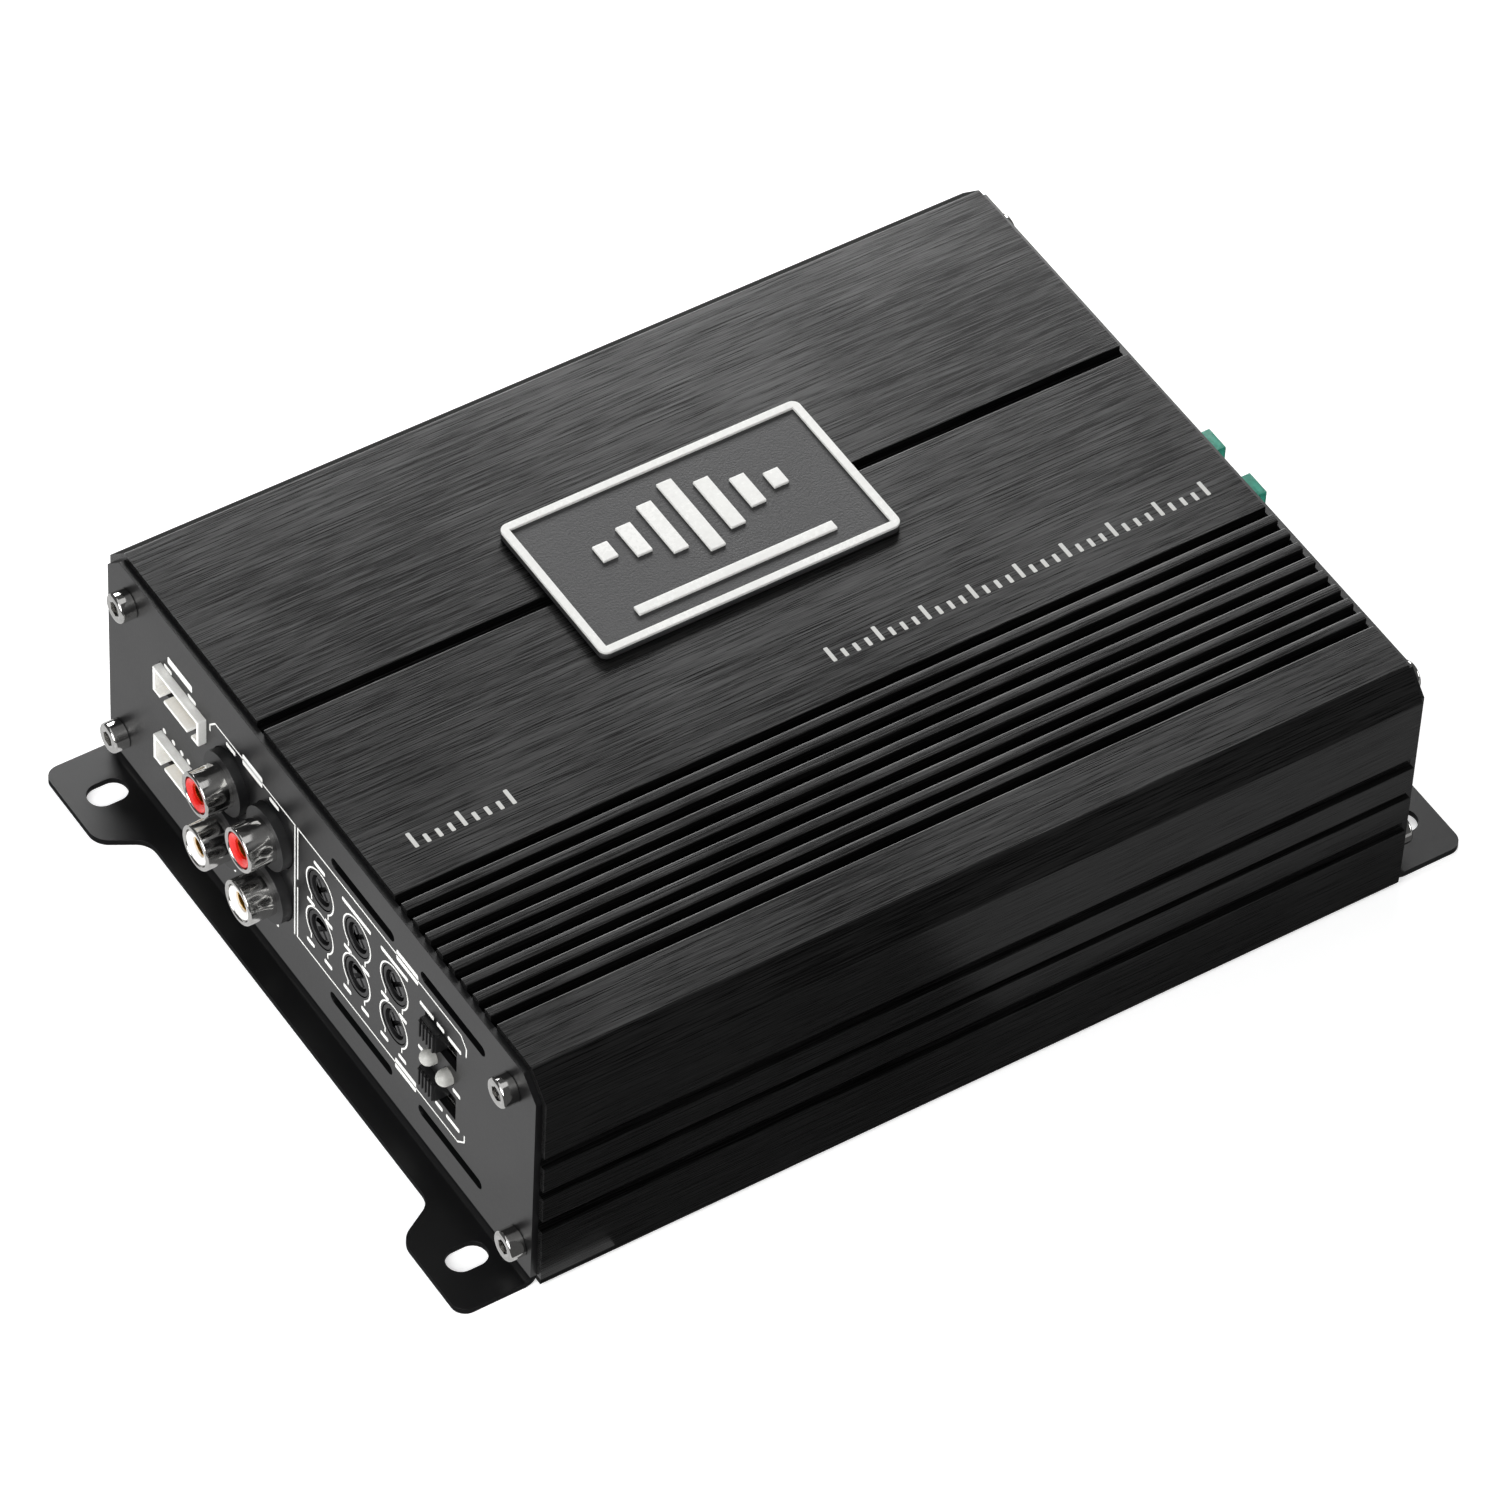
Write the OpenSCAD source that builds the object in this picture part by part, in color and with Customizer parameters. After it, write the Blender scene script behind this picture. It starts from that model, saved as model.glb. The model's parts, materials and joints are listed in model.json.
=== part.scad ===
// Four-channel car amplifier: an extruded heatsink shell closed by two bent
// sheet end panels and a bottom plate, with its boards and terminals inside.
// Millimetres. +X runs along the extrusion towards the output end, the grooved
// side faces -Y, and the panel flanges stand on the plane z = 0.

/* [Shell] */
// Length of the extrusion
case_l = 168; // [140:1:220]
// Width of the extrusion
case_w = 137; // [128:1:180]
// Height of the extrusion
case_h = 49.2; // [44:0.1:70]
// Height of the extrusion's lower edge over the mounting plane
foot_gap = 0.8; // [0.2:0.1:2]
// Thickness of the finned top
top_wall = 5.6; // [4.2:0.1:8]
// Thickness of the side walls
side_wall = 3.2; // [2.6:0.1:5]
// Width of the cut along both upper edges
edge_cut = 4.6; // [2:0.1:6]

/* [Fins] */
// Number of grooves in the fin field
groove_n = 9; // [4:1:12]
// Width of one groove
groove_w = 1.8; // [1:0.1:2.4]
// Distance from one groove to the next
groove_pitch = 3.65; // [3:0.05:4.5]
// Depth of the fin grooves
groove_depth = 3; // [1:0.1:3.6]
// Distance from the front face to the first groove
groove_start = 15; // [8:0.5:20]
// Distance from the front face to the middle of the single groove
seam_y = 88.2; // [70:0.1:100]
// Width of the single groove
seam_w = 2.1; // [1:0.1:3]
// Depth of the single groove
seam_depth = 2; // [1:0.1:3]
// Width of the upper and lower grooves in the side faces
side_groove_w = 2.7; // [1:0.1:4]
// Width of the middle groove in the side faces
side_groove_mid_w = 1.7; // [1:0.1:4]
// Depth of the grooves in the side faces
side_groove_depth = 1.3; // [0.5:0.1:1.6]
// Height of the lowest side groove over the shell's lower edge
side_groove_z = 14.3; // [13:0.1:18]
// Distance from one side groove to the next
side_groove_pitch = 7.85; // [6:0.05:9]

/* [End panels] */
// Thickness of the panel sheet
panel_t = 1.2; // [0.8:0.1:2]
// Distance from the shell's outline to the panel's
panel_inset = 1.2; // [0.5:0.1:2]
// Inner radius of the bend at the panel's foot
bend_r = 1; // [0.5:0.1:2]
// Reach of the flange between the ears
flange_reach = 5.4; // [4:0.1:8]
// Reach of the ears
ear_reach = 13.2; // [12:0.1:18]
// Width of an ear along its outer edge
ear_w = 15.5; // [14:0.1:20]
// Radius of an ear's free corner
ear_corner_r = 2.6; // [1:0.1:4]
// Radius of the curves between ear and flange
ear_blend_r = 4; // [2:0.1:4]
// Distance between the slot middles along the panel
slot_spacing = 115.6; // [100:0.1:120]
// Distance from the panel's face to the slot middle
slot_reach = 6.1; // [5:0.1:8]
// Width of a mounting slot
slot_w = 5.2; // [4:0.1:6]
// Length of a mounting slot
slot_l = 7.4; // [6:0.1:9]
// Length of a vent slit
vent_l = 19.6; // [10:0.1:24]
// Height of a vent slit
vent_w = 2.2; // [1:0.1:3]

/* [Screws] */
// Diameter of the panel screws' thread
screw_d = 3; // [2.5:0.1:3.5]
// Diameter of the panel screws' head
head_d = 5.5; // [4.5:0.1:6.5]
// Height of the panel screws' head
head_h = 3; // [2:0.1:3.5]
// Length of the panel screws' shank
screw_l = 12; // [8:0.5:16]
// Radial clearance round a shank
screw_gap = 0.05; // [0.02:0.01:0.1]
// Distance from the side faces to the upper screws
top_screw_y = 8.4; // [7:0.1:12]
// Distance from the top to the upper screws
top_screw_drop = 7.8; // [6.5:0.1:12]
// Distance from the side faces to the lower screws
low_screw_y = 5.2; // [4.5:0.1:6]
// Height of the lower screws over the shell's lower edge
low_screw_z = 6.6; // [6:0.1:8]

/* [Badge] */
// Length of the badge
badge_l = 58.3; // [40:0.1:80]
// Width of the badge
badge_w = 33.1; // [20:0.1:40]
// Thickness of the badge plate
badge_t = 1.3; // [0.8:0.1:2]
// Height of the raised rim and emblem
badge_rise = 0.6; // [0.3:0.1:1]
// Width of the raised rim
badge_rim = 1.5; // [1:0.1:3]
// Radius of the badge's corners
badge_r = 1.6; // [0.5:0.1:4]

/* [Boards] */
// Thickness of the bottom plate
bottom_t = 1.2; // [0.8:0.1:2]
// Height of the main board's lower face over the bottom plate
board_lift = 6.4; // [5:0.1:8]
// Thickness of every board
board_t = 1.6; // [1:0.1:2]
// Distance from the side faces to the main board's edge
board_margin = 9; // [8.8:0.1:12]
// Distance from the inner face of the panel to the upright boards
upright_gap = 8; // [7.5:0.1:10]

/* [Phono sockets] */
// Outer diameter of a socket's barrel
barrel_d = 8.3; // [8:0.05:8.5]
// Diameter of the opening in a barrel's lip
barrel_lip_d = 5.8; // [5:0.1:6.5]
// Wall of a barrel
barrel_wall = 0.5; // [0.3:0.05:0.8]
// Reach of a barrel beyond the panel's face
barrel_reach = 7; // [5:0.1:10]
// Diameter of the black collar round a barrel
collar_d = 11.8; // [10:0.1:12.4]
// Reach of a collar beyond the panel's face
collar_reach = 1.8; // [1:0.1:3]
// Diameter of a centre contact's bore
contact_bore_d = 3.2; // [3:0.05:3.4]
// Distance from the front face to the middle of the four sockets
socket_y = 88.8; // [80:0.1:100]
// Height of the four sockets' middle over the shell's lower edge
socket_z = 23; // [22:0.1:26]
// Distance between the sockets along the panel
socket_pitch_y = 13.8; // [13:0.1:15]
// Distance between the sockets in height
socket_pitch_z = 13; // [12.8:0.1:14]

/* [Controls] */
// Distance from the front face to the middle column of trimmers
trimmer_y = 55.6; // [50:0.1:60]
// Height of the trimmers' middle over the shell's lower edge
trimmer_z = 25.2; // [22:0.1:28]
// Distance between the trimmer columns
trimmer_pitch_y = 11.65; // [10:0.05:13]
// Distance between the trimmer rows
trimmer_pitch_z = 9.6; // [9.4:0.05:11]
// Diameter of a trimmer's collar
trimmer_d = 7.1; // [6.5:0.1:8]
// Diameter of a trimmer's rotor
rotor_d = 5; // [4:0.1:5.4]
// Diameter of a rotor's spindle
spindle_d = 2; // [1.5:0.1:3]
// Running clearance round a rotor's spindle
spindle_gap = 0.05; // [0.02:0.01:0.1]
// Distance from the front face to the middle of the switches
switch_y = 29.6; // [26:0.1:32]
// Height of the upper switch over the shell's lower edge
switch_high_z = 30.7; // [29:0.1:32]
// Height of the lower switch over the shell's lower edge
switch_low_z = 18.8; // [17:0.1:20]
// Width of a switch lever
lever_w = 5; // [4:0.1:6]
// Height of a switch lever
lever_h = 4.2; // [3:0.1:4.6]
// Travel of a switch lever from end to end
lever_travel = 4.4; // [3:0.1:5]
// Reach of a switch lever beyond the panel's face
lever_reach = 1.6; // [1:0.1:3]
// Running clearance round a switch lever
lever_gap = 0.15; // [0.1:0.05:0.3]
// Diameter of an indicator lamp
lamp_d = 3; // [2.5:0.1:4]
// Reach of an indicator lamp beyond the panel's face
lamp_reach = 2.3; // [1.5:0.1:3]

/* [Headers] */
// Width of a signal header
header_w = 14.9; // [12:0.1:18]
// Height of a signal header
header_h = 5.8; // [5:0.1:7]
// Wall of a signal header
header_wall = 0.7; // [0.5:0.1:1]
// Reach of a signal header beyond the panel's face
header_reach = 1.5; // [1:0.1:3]
// Distance from the front face to the middle of the headers
header_y = 111.3; // [108:0.1:114]
// Height of the upper header over the shell's lower edge
header_high_z = 33.4; // [31:0.1:35]
// Height of the lower header over the shell's lower edge
header_low_z = 16.8; // [16:0.1:20]
// Number of pins in a header
pin_n = 5; // [3:1:6]
// Distance between the header pins
pin_pitch = 2.5; // [2:0.1:3]

/* [Terminals] */
// Reach of the terminal blocks beyond the panel's face
block_reach = 7.8; // [5:0.1:8]
// Height of the terminal blocks
block_h = 13; // [12:0.1:16]
// Number of power terminals
power_n = 3; // [2:1:4]
// Distance between the power terminals
power_pitch = 12.4; // [11.5:0.1:14]
// Diameter of a power terminal's wire bore
power_bore_d = 6.6; // [5:0.1:7]
// Distance from the front face to the middle of the power block
power_y = 107; // [104:0.1:112]
// Number of speaker terminals
speaker_n = 8; // [4:1:8]
// Distance between the speaker terminals
speaker_pitch = 5.2; // [5:0.1:5.6]
// Diameter of a speaker terminal's wire bore
speaker_bore_d = 3.2; // [2.5:0.1:3.4]
// Distance from the front face to the middle of the speaker block
speaker_y = 32; // [30:0.1:34]

/* [Fuses] */
// Distance from the front face to the middle of the two fuses
fuse_y = 69.6; // [68:0.1:71]
// Distance between the two fuses
fuse_pitch = 12.1; // [11:0.1:13]
// Width of a blade fuse
fuse_w = 19.1; // [18.8:0.1:19.4]
// Thickness of a blade fuse
fuse_t = 5.2; // [5:0.1:5.6]
// Height of a blade fuse's plastic body
fuse_h = 12.2; // [11:0.1:13]
// Reach of a fuse beyond the panel's face
fuse_reach = 11; // [6:0.1:11.5]
// Height of the fuse holder's foot above the board
fuse_lift = 3; // [1:0.1:5]
// Clearance round a fuse in its holder
fuse_gap = 0.3; // [0.2:0.05:0.5]

/* [Hidden] */
$fn = 48;

eps = 0.01;
shell_low = foot_gap;
shell_top = foot_gap + case_h;
end_x = case_l / 2;
face_x = end_x + panel_t;
ceiling_z = shell_top - top_wall;
plate_top = shell_low + bottom_t;
board_z = plate_top + board_lift;
board_top = board_z + board_t;
board_w = case_w - 2 * board_margin;
board_l = case_l - 2;
rail_w = board_margin + 5.5;
rail_screw_y = board_margin + 2.6;
lip_w = 1.6;
plate_gap = 0.2;
upright_x = end_x - upright_gap;
upright_low = board_top + 0.3;
hole_gap = 0.15;
boss_r = 3.5;
chamfer_45 = 2 - sqrt(2);

function fy(y) = y - case_w / 2;
function arc_points(x, y, r, from, to, steps = 8) =
    [for (i = [0:steps]) let (a = from + (to - from) * i / steps) [x + r * cos(a), y + r * sin(a)]];

// ---- small shared shapes ------------------------------------------------

// A bar along X from x0 to x1 with a section drawn in Y and Z
module along_x(x0, x1) {
    translate([x0, 0, 0]) rotate([90, 0, 90]) linear_extrude(x1 - x0) children();
}

// A round bar along X
module rod_x(x0, x1, y, z, d) {
    translate([x0, y, z]) rotate([0, 90, 0]) cylinder(h = x1 - x0, d = d);
}

// A block given by its lowest and highest corners
module block(low, high) {
    translate(low) cube(high - low);
}

// Both ends of the amplifier: side is -1 for the input end, 1 for the output end
module at_end(side) {
    if (side < 0) mirror([1, 0, 0]) children();
    else children();
}

// A slot with round ends through an end panel, its length along Y
module panel_slit(y, z, l, w) {
    block([end_x - 1, y - (l - w) / 2, z - w / 2], [face_x + 1, y + (l - w) / 2, z + w / 2]);
    for (s = [-1, 1]) rod_x(end_x - 1, face_x + 1, y + s * (l - w) / 2, z, w);
}

// ---- shell --------------------------------------------------------------

function screw_places() = [
    for (s = [-1, 1]) [s * (case_w / 2 - top_screw_y), shell_top - top_screw_drop],
    for (s = [-1, 1]) [s * (case_w / 2 - low_screw_y), shell_low + low_screw_z]];

module shell_outline() {
    polygon([[fy(0), shell_low], [-fy(0), shell_low], [-fy(0), shell_top - edge_cut],
        [-fy(edge_cut), shell_top], [fy(edge_cut), shell_top], [fy(0), shell_top - edge_cut]]);
}

// One half of the hollow, on the +Y side
module shell_hollow() {
    inner = case_w / 2 - side_wall;
    polygon([[0, plate_top], [case_w / 2 - rail_w, plate_top], [case_w / 2 - rail_w, board_z],
        [case_w / 2 - board_margin + 0.3, board_z], [case_w / 2 - board_margin + 0.3, board_top + 0.3],
        [inner, board_top + 2], [inner, ceiling_z - 2], [inner - 2, ceiling_z], [0, ceiling_z]]);
}

module shell_section() {
    difference() {
        shell_outline();
        difference() {
            for (m = [0, 1]) mirror([m, 0]) union() {
                shell_hollow();
                translate([-eps, shell_low - 1])
                    square([case_w / 2 - lip_w + eps, bottom_t + 1]);
            }
            for (s = screw_places()) translate(s) circle(r = boss_r);
        }
        for (i = [0:groove_n - 1])
            translate([fy(groove_start + i * groove_pitch), shell_top - groove_depth])
                square([groove_w, groove_depth + 1]);
        translate([fy(seam_y - seam_w / 2), shell_top - seam_depth])
            square([seam_w, seam_depth + 1]);
        for (m = [0, 1]) mirror([m, 0]) side_grooves();
    }
}

module side_grooves() {
    for (i = [0:2]) {
        w = i == 1 ? side_groove_mid_w : side_groove_w;
        translate([fy(-1), shell_low + side_groove_z + i * side_groove_pitch - w / 2])
            square([1 + side_groove_depth, w]);
    }
}

module heatsink_shell() {
    color("dimgray") difference() {
        along_x(-end_x, end_x) shell_section();
        for (side = [-1, 1]) at_end(side)
            for (s = screw_places())
                rod_x(end_x - screw_l - 2, end_x + 1, s[0], s[1], screw_d + 2 * screw_gap);
        for (p = plate_screw_places())
            translate([p[0], p[1], plate_top - 1]) cylinder(h = 5, d = screw_d + 2 * screw_gap);
        for (p = board_screw_places())
            translate([p[0], p[1], board_z - 4]) cylinder(h = 5, d = screw_d + 2 * screw_gap);
    }
}

// ---- bottom plate -------------------------------------------------------

plate_screw_step = case_l / 2 - 20;
board_screw_step = case_l / 2 - 32;

function plate_screw_places() =
    [for (i = [-1:1]) for (s = [-1, 1]) [i * plate_screw_step, s * (case_w / 2 - rail_screw_y)]];
function board_screw_places() =
    [for (i = [-1, 1]) for (s = [-1, 1]) [i * board_screw_step, s * (case_w / 2 - rail_screw_y)]];

module bottom_plate() {
    w = case_w / 2 - lip_w - plate_gap;
    color("#2b2b2b") difference() {
        block([-end_x + plate_gap, -w, shell_low], [end_x - plate_gap, w, plate_top]);
        for (p = plate_screw_places()) translate([p[0], p[1], shell_low - eps]) {
            cylinder(h = bottom_t + 1, d = screw_d + 0.4);
            cylinder(h = bottom_t, d1 = screw_d + 2 * bottom_t, d2 = screw_d);
        }
    }
}

module bottom_plate_screws() {
    color("black") for (p = plate_screw_places()) translate([p[0], p[1], shell_low]) difference() {
        union() {
            cylinder(h = bottom_t - 0.1, d1 = screw_d + 2 * bottom_t - 0.2, d2 = screw_d);
            cylinder(h = bottom_t + 3.5, d = screw_d);
        }
        for (a = [0, 90]) rotate([0, 0, a]) block([-1.4, -0.3, -1], [1.4, 0.3, 0.7]);
    }
}

// ---- end panels ---------------------------------------------------------

// Outline of the upright sheet in Y and Z, above the bend
module panel_outline() {
    cut = edge_cut - panel_inset * chamfer_45;
    half = case_w / 2 - panel_inset;
    top = shell_top - panel_inset;
    polygon([[-half, panel_t + bend_r], [half, panel_t + bend_r], [half, top - cut],
        [half - cut, top], [-half + cut, top], [-half, top - cut]]);
}

// One half of the flange from the bend outwards, on the +Y side
module flange_half() {
    half = case_w / 2 - panel_inset;
    slope = 60;
    fall = ear_reach - flange_reach;
    straight = (fall - 2 * ear_blend_r * (1 - cos(slope))) / sin(slope);
    v_ear = half - ear_w;
    v_low = v_ear - 2 * ear_blend_r * sin(slope) - straight * cos(slope);
    u_free = face_x + ear_reach;
    polygon(concat(
        [[face_x + bend_r, -eps], [face_x + bend_r, half]],
        arc_points(u_free - ear_corner_r, half - ear_corner_r, ear_corner_r, 90, 0),
        arc_points(u_free - ear_blend_r, v_ear, ear_blend_r, 0, -slope),
        arc_points(face_x + flange_reach + ear_blend_r, v_low, ear_blend_r, 180 - slope, 180),
        [[face_x + flange_reach, -eps]]));
}

module panel_blank() {
    half = case_w / 2 - panel_inset;
    along_x(end_x, face_x) panel_outline();
    difference() {
        translate([face_x + bend_r, half, panel_t + bend_r]) rotate([90, 0, 0]) difference() {
            cylinder(h = 2 * half, r = bend_r + panel_t);
            translate([0, 0, -1]) cylinder(h = 2 * half + 2, r = bend_r);
        }
        block([face_x + bend_r, -half - 1, -1], [face_x + 9, half + 1, 9]);
        block([end_x - 9, -half - 1, panel_t + bend_r], [face_x + 9, half + 1, 19]);
    }
    difference() {
        linear_extrude(panel_t) for (m = [0, 1]) mirror([0, m]) flange_half();
        for (s = [-1, 1]) translate([face_x + slot_reach, s * slot_spacing / 2, -1]) {
            reach = (slot_l - slot_w) / 2;
            for (e = [-1, 1]) translate([e * reach, 0, 0]) cylinder(h = panel_t + 2, d = slot_w);
            block([-reach, -slot_w / 2, 0], [reach, slot_w / 2, panel_t + 2]);
        }
    }
}

vent_y = [26.2, 54];
vent_z = [shell_low + 8, shell_low + 41];

module panel_screw_holes() {
    for (s = screw_places())
        rod_x(end_x - 1, face_x + 1, s[0], s[1], screw_d + 0.4);
}

module input_end_panel() {
    color("#1c1c1c") at_end(-1) difference() {
        panel_blank();
        panel_screw_holes();
        for (y = vent_y) for (z = vent_z) panel_slit(fy(y), z, vent_l, vent_w);
        for (p = socket_places()) rod_x(end_x - 1, face_x + 1, p[0], p[1], collar_d + 2 * hole_gap);
        for (p = trimmer_places()) rod_x(end_x - 1, face_x + 1, p[0], p[1], trimmer_d + 2 * hole_gap);
        for (p = lamp_places()) rod_x(end_x - 1, face_x + 1, p[0], p[1], lamp_d + 2 * hole_gap);
        for (z = switch_heights) block(
            [end_x - 1, fy(switch_y) - window_w / 2, z - window_h / 2],
            [face_x + 1, fy(switch_y) + window_w / 2, z + window_h / 2]);
        for (z = header_heights) block(
            [end_x - 1, fy(header_y) - header_w / 2 - hole_gap, z - header_h / 2 - hole_gap],
            [face_x + 1, fy(header_y) + header_w / 2 + hole_gap, z + header_h / 2 + hole_gap]);
    }
}

module output_end_panel() {
    color("#1c1c1c") difference() {
        panel_blank();
        panel_screw_holes();
        for (y = [28, 56, 81, 109]) panel_slit(fy(y), vent_z[1], vent_l, vent_w);
        block([end_x - 1, fy(power_y) - power_w / 2 - hole_gap, block_z - hole_gap],
            [face_x + 1, fy(power_y) + power_w / 2 + hole_gap, block_z + block_h + hole_gap]);
        block([end_x - 1, fy(speaker_y) - speaker_w / 2 - hole_gap, block_z - hole_gap],
            [face_x + 1, fy(speaker_y) + speaker_w / 2 + hole_gap, block_z + block_h + hole_gap]);
        block([end_x - 1, fy(fuse_y) - holder_w / 2 - hole_gap, fuse_z - holder_h / 2 - hole_gap],
            [face_x + 1, fy(fuse_y) + holder_w / 2 + hole_gap, fuse_z + holder_h / 2 + hole_gap]);
    }
}

// A cap screw with a hexagon socket, its head outside the panel
module cap_screw(y, z) {
    difference() {
        union() {
            rod_x(face_x, face_x + head_h, y, z, head_d);
            rod_x(face_x - screw_l, face_x, y, z, screw_d);
        }
        translate([face_x + head_h - 1.6, y, z]) rotate([0, 90, 0]) cylinder(h = 2, d = 2.9, $fn = 6);
    }
}

module input_panel_screws() {
    color("silver") at_end(-1) for (s = screw_places()) cap_screw(s[0], s[1]);
}

module output_panel_screws() {
    color("silver") for (s = screw_places()) cap_screw(s[0], s[1]);
}

// ---- badge --------------------------------------------------------------

badge_y = fy(seam_y) + 0.25;

// A rectangle with round corners, centred
module round_rect(l, w, r) {
    square([l - 2 * r, w], center = true);
    square([l, w - 2 * r], center = true);
    for (x = [-1, 1]) for (y = [-1, 1])
        translate([x * (l / 2 - r), y * (w / 2 - r)]) circle(r = r);
}

module badge_plate() {
    color("#303030") translate([0, badge_y, shell_top]) linear_extrude(badge_t)
        round_rect(badge_l, badge_w, badge_r);
}

module badge_rim_frame() {
    color("white") translate([0, badge_y, shell_top + badge_t]) linear_extrude(badge_rise)
        difference() {
            round_rect(badge_l, badge_w, badge_r);
            square([badge_l - 2 * badge_rim, badge_w - 2 * badge_rim], center = true);
        }
}

// A row of bars like a level display, over a baseline
module badge_emblem() {
    bar_w = badge_l / 20;
    heights = [0.22, 0.42, 0.7, 1, 0.7, 0.42, 0.22];
    full = badge_w * 0.52;
    color("white") translate([0, badge_y, shell_top + badge_t]) linear_extrude(badge_rise) {
        for (i = [0:6]) translate([(i - 3) * bar_w * 1.9, badge_w * 0.09])
            square([bar_w, full * heights[i]], center = true);
        translate([0, -badge_w * 0.33]) square([badge_l * 0.66, badge_w * 0.06], center = true);
    }
}

// ---- boards -------------------------------------------------------------

module main_board() {
    color("darkgreen") difference() {
        block([-board_l / 2, -board_w / 2, board_z], [board_l / 2, board_w / 2, board_top]);
        for (p = board_screw_places())
            translate([p[0], p[1], board_z - 1]) cylinder(h = board_t + 2, d = screw_d + 0.4);
    }
}

module board_screws() {
    color("silver") for (p = board_screw_places()) translate([p[0], p[1], board_top]) difference() {
        union() {
            cylinder(h = 2, d = head_d);
            translate([0, 0, -board_t - 3.5]) cylinder(h = board_t + 3.5, d = screw_d);
        }
        for (a = [0, 90]) rotate([0, 0, a]) block([-1.5, -0.35, 1], [1.5, 0.35, 3]);
    }
}

module insulating_sheet() {
    half = case_w / 2 - rail_w - 0.5;
    color("ivory") block([-board_l / 2 + 2, -half, plate_top], [board_l / 2 - 2, half, plate_top + 0.4]);
}

header_board_rim = 0.75;

// An upright board behind the input panel
module upright_board(y0, y1, z1) {
    at_end(-1) block([upright_x - board_t, fy(y0), upright_low], [upright_x, fy(y1), z1]);
}

module control_board() {
    color("darkgreen") upright_board(switch_y - 10, trimmer_y + 17.5, ceiling_z - 6);
}

module header_board() {
    half = header_w / 2 + header_board_rim;
    color("darkgreen") upright_board(header_y - half, header_y + half, ceiling_z - 3);
}

// ---- phono sockets ------------------------------------------------------

housing_inset = 0.6;
socket_body_w = 2 * (socket_pitch_y - housing_inset);
socket_top = shell_low + socket_z + socket_pitch_z;
insert_d = barrel_lip_d - 0.1;
root_d = barrel_d - 1;
barrel_bore = root_d - 2 * barrel_wall;

function socket_places(rows = [-1, 1]) =
    [for (c = [-1, 1]) for (r = rows)
        [fy(socket_y + c * socket_pitch_y / 2), shell_low + socket_z + r * socket_pitch_z / 2]];

module socket_housing() {
    color("#151515") at_end(-1) difference() {
        union() {
            block([end_x - 15, fy(socket_y) - socket_body_w / 2, board_top],
                [end_x - 0.3, fy(socket_y) + socket_body_w / 2, socket_top]);
            for (p = socket_places()) rod_x(end_x - 0.3, face_x + collar_reach, p[0], p[1], collar_d);
        }
        for (p = socket_places())
            rod_x(end_x - 3, face_x + collar_reach + 1, p[0], p[1], root_d + 0.06);
    }
}

module socket_barrels() {
    back = end_x - 3;
    color("silver") at_end(-1) for (p = socket_places()) difference() {
        union() {
            rod_x(back, face_x + collar_reach, p[0], p[1], root_d);
            rod_x(face_x + collar_reach, face_x + barrel_reach, p[0], p[1], barrel_d);
        }
        rod_x(back - 1, face_x + barrel_reach - 1, p[0], p[1], barrel_bore);
        rod_x(back, face_x + barrel_reach + 1, p[0], p[1], barrel_lip_d);
    }
}

// The plastic core of a socket, seen through the barrel's lip
module socket_insert(y, z) {
    difference() {
        union() {
            rod_x(end_x - 3, face_x + barrel_reach - 1.1, y, z, barrel_bore - 0.1);
            rod_x(end_x, face_x + barrel_reach - 0.5, y, z, insert_d);
        }
        rod_x(end_x - 2, face_x + barrel_reach + 1, y, z, contact_bore_d + 0.7);
    }
}

module upper_socket_inserts() {
    color("red") at_end(-1) for (p = socket_places([1])) socket_insert(p[0], p[1]);
}

module lower_socket_inserts() {
    color("white") at_end(-1) for (p = socket_places([-1])) socket_insert(p[0], p[1]);
}

module socket_contacts() {
    color("gold") at_end(-1) for (p = socket_places()) difference() {
        rod_x(end_x - 1.9, face_x + barrel_reach - 1.2, p[0], p[1], contact_bore_d + 0.6);
        rod_x(end_x - 1, face_x + barrel_reach + 1, p[0], p[1], contact_bore_d);
    }
}

// ---- signal headers -----------------------------------------------------

header_heights = [shell_low + header_low_z, shell_low + header_high_z];

// A shrouded header with two key slots in its lower wall
module header_shroud(z) {
    y0 = fy(header_y) - header_w / 2;
    y1 = fy(header_y) + header_w / 2;
    front = face_x + header_reach;
    difference() {
        block([upright_x, y0, z - header_h / 2], [front, y1, z + header_h / 2]);
        block([upright_x + 2, y0 + header_wall, z - header_h / 2 + header_wall],
            [front + 1, y1 - header_wall, z + header_h / 2 - header_wall]);
        for (s = [-1, 1]) translate([0, fy(header_y) + s * header_w * 0.3, 0])
            block([front - 3.6, -0.6, z - header_h / 2 - 1], [front + 1, 0.6, z]);
        header_pin_rows(z, 0.05);
    }
}

module header_pin_rows(z, grow) {
    half = 0.32 + grow;
    for (i = [0:pin_n - 1]) translate([0, fy(header_y) + (i - (pin_n - 1) / 2) * pin_pitch, z])
        block([upright_x - board_t - 1.5, -half, -half], [face_x + header_reach - 1.2, half, half]);
}

module upper_header() {
    color("white") at_end(-1) header_shroud(header_heights[1]);
}

module lower_header() {
    color("white") at_end(-1) header_shroud(header_heights[0]);
}

// The pins stop at the board's front face, where they are soldered
module header_pins(z) {
    difference() {
        header_pin_rows(z, 0);
        block([upright_x - 9, fy(0), 0], [upright_x, -fy(0), shell_top]);
    }
}

module upper_header_pins() {
    color("gold") at_end(-1) header_pins(header_heights[1]);
}

module lower_header_pins() {
    color("gold") at_end(-1) header_pins(header_heights[0]);
}

// ---- trimmers -----------------------------------------------------------

trimmer_body = 9.2;
pocket_d = rotor_d + 0.6;
rotor_front = face_x - 0.5;
rotor_h = 2.4;

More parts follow.
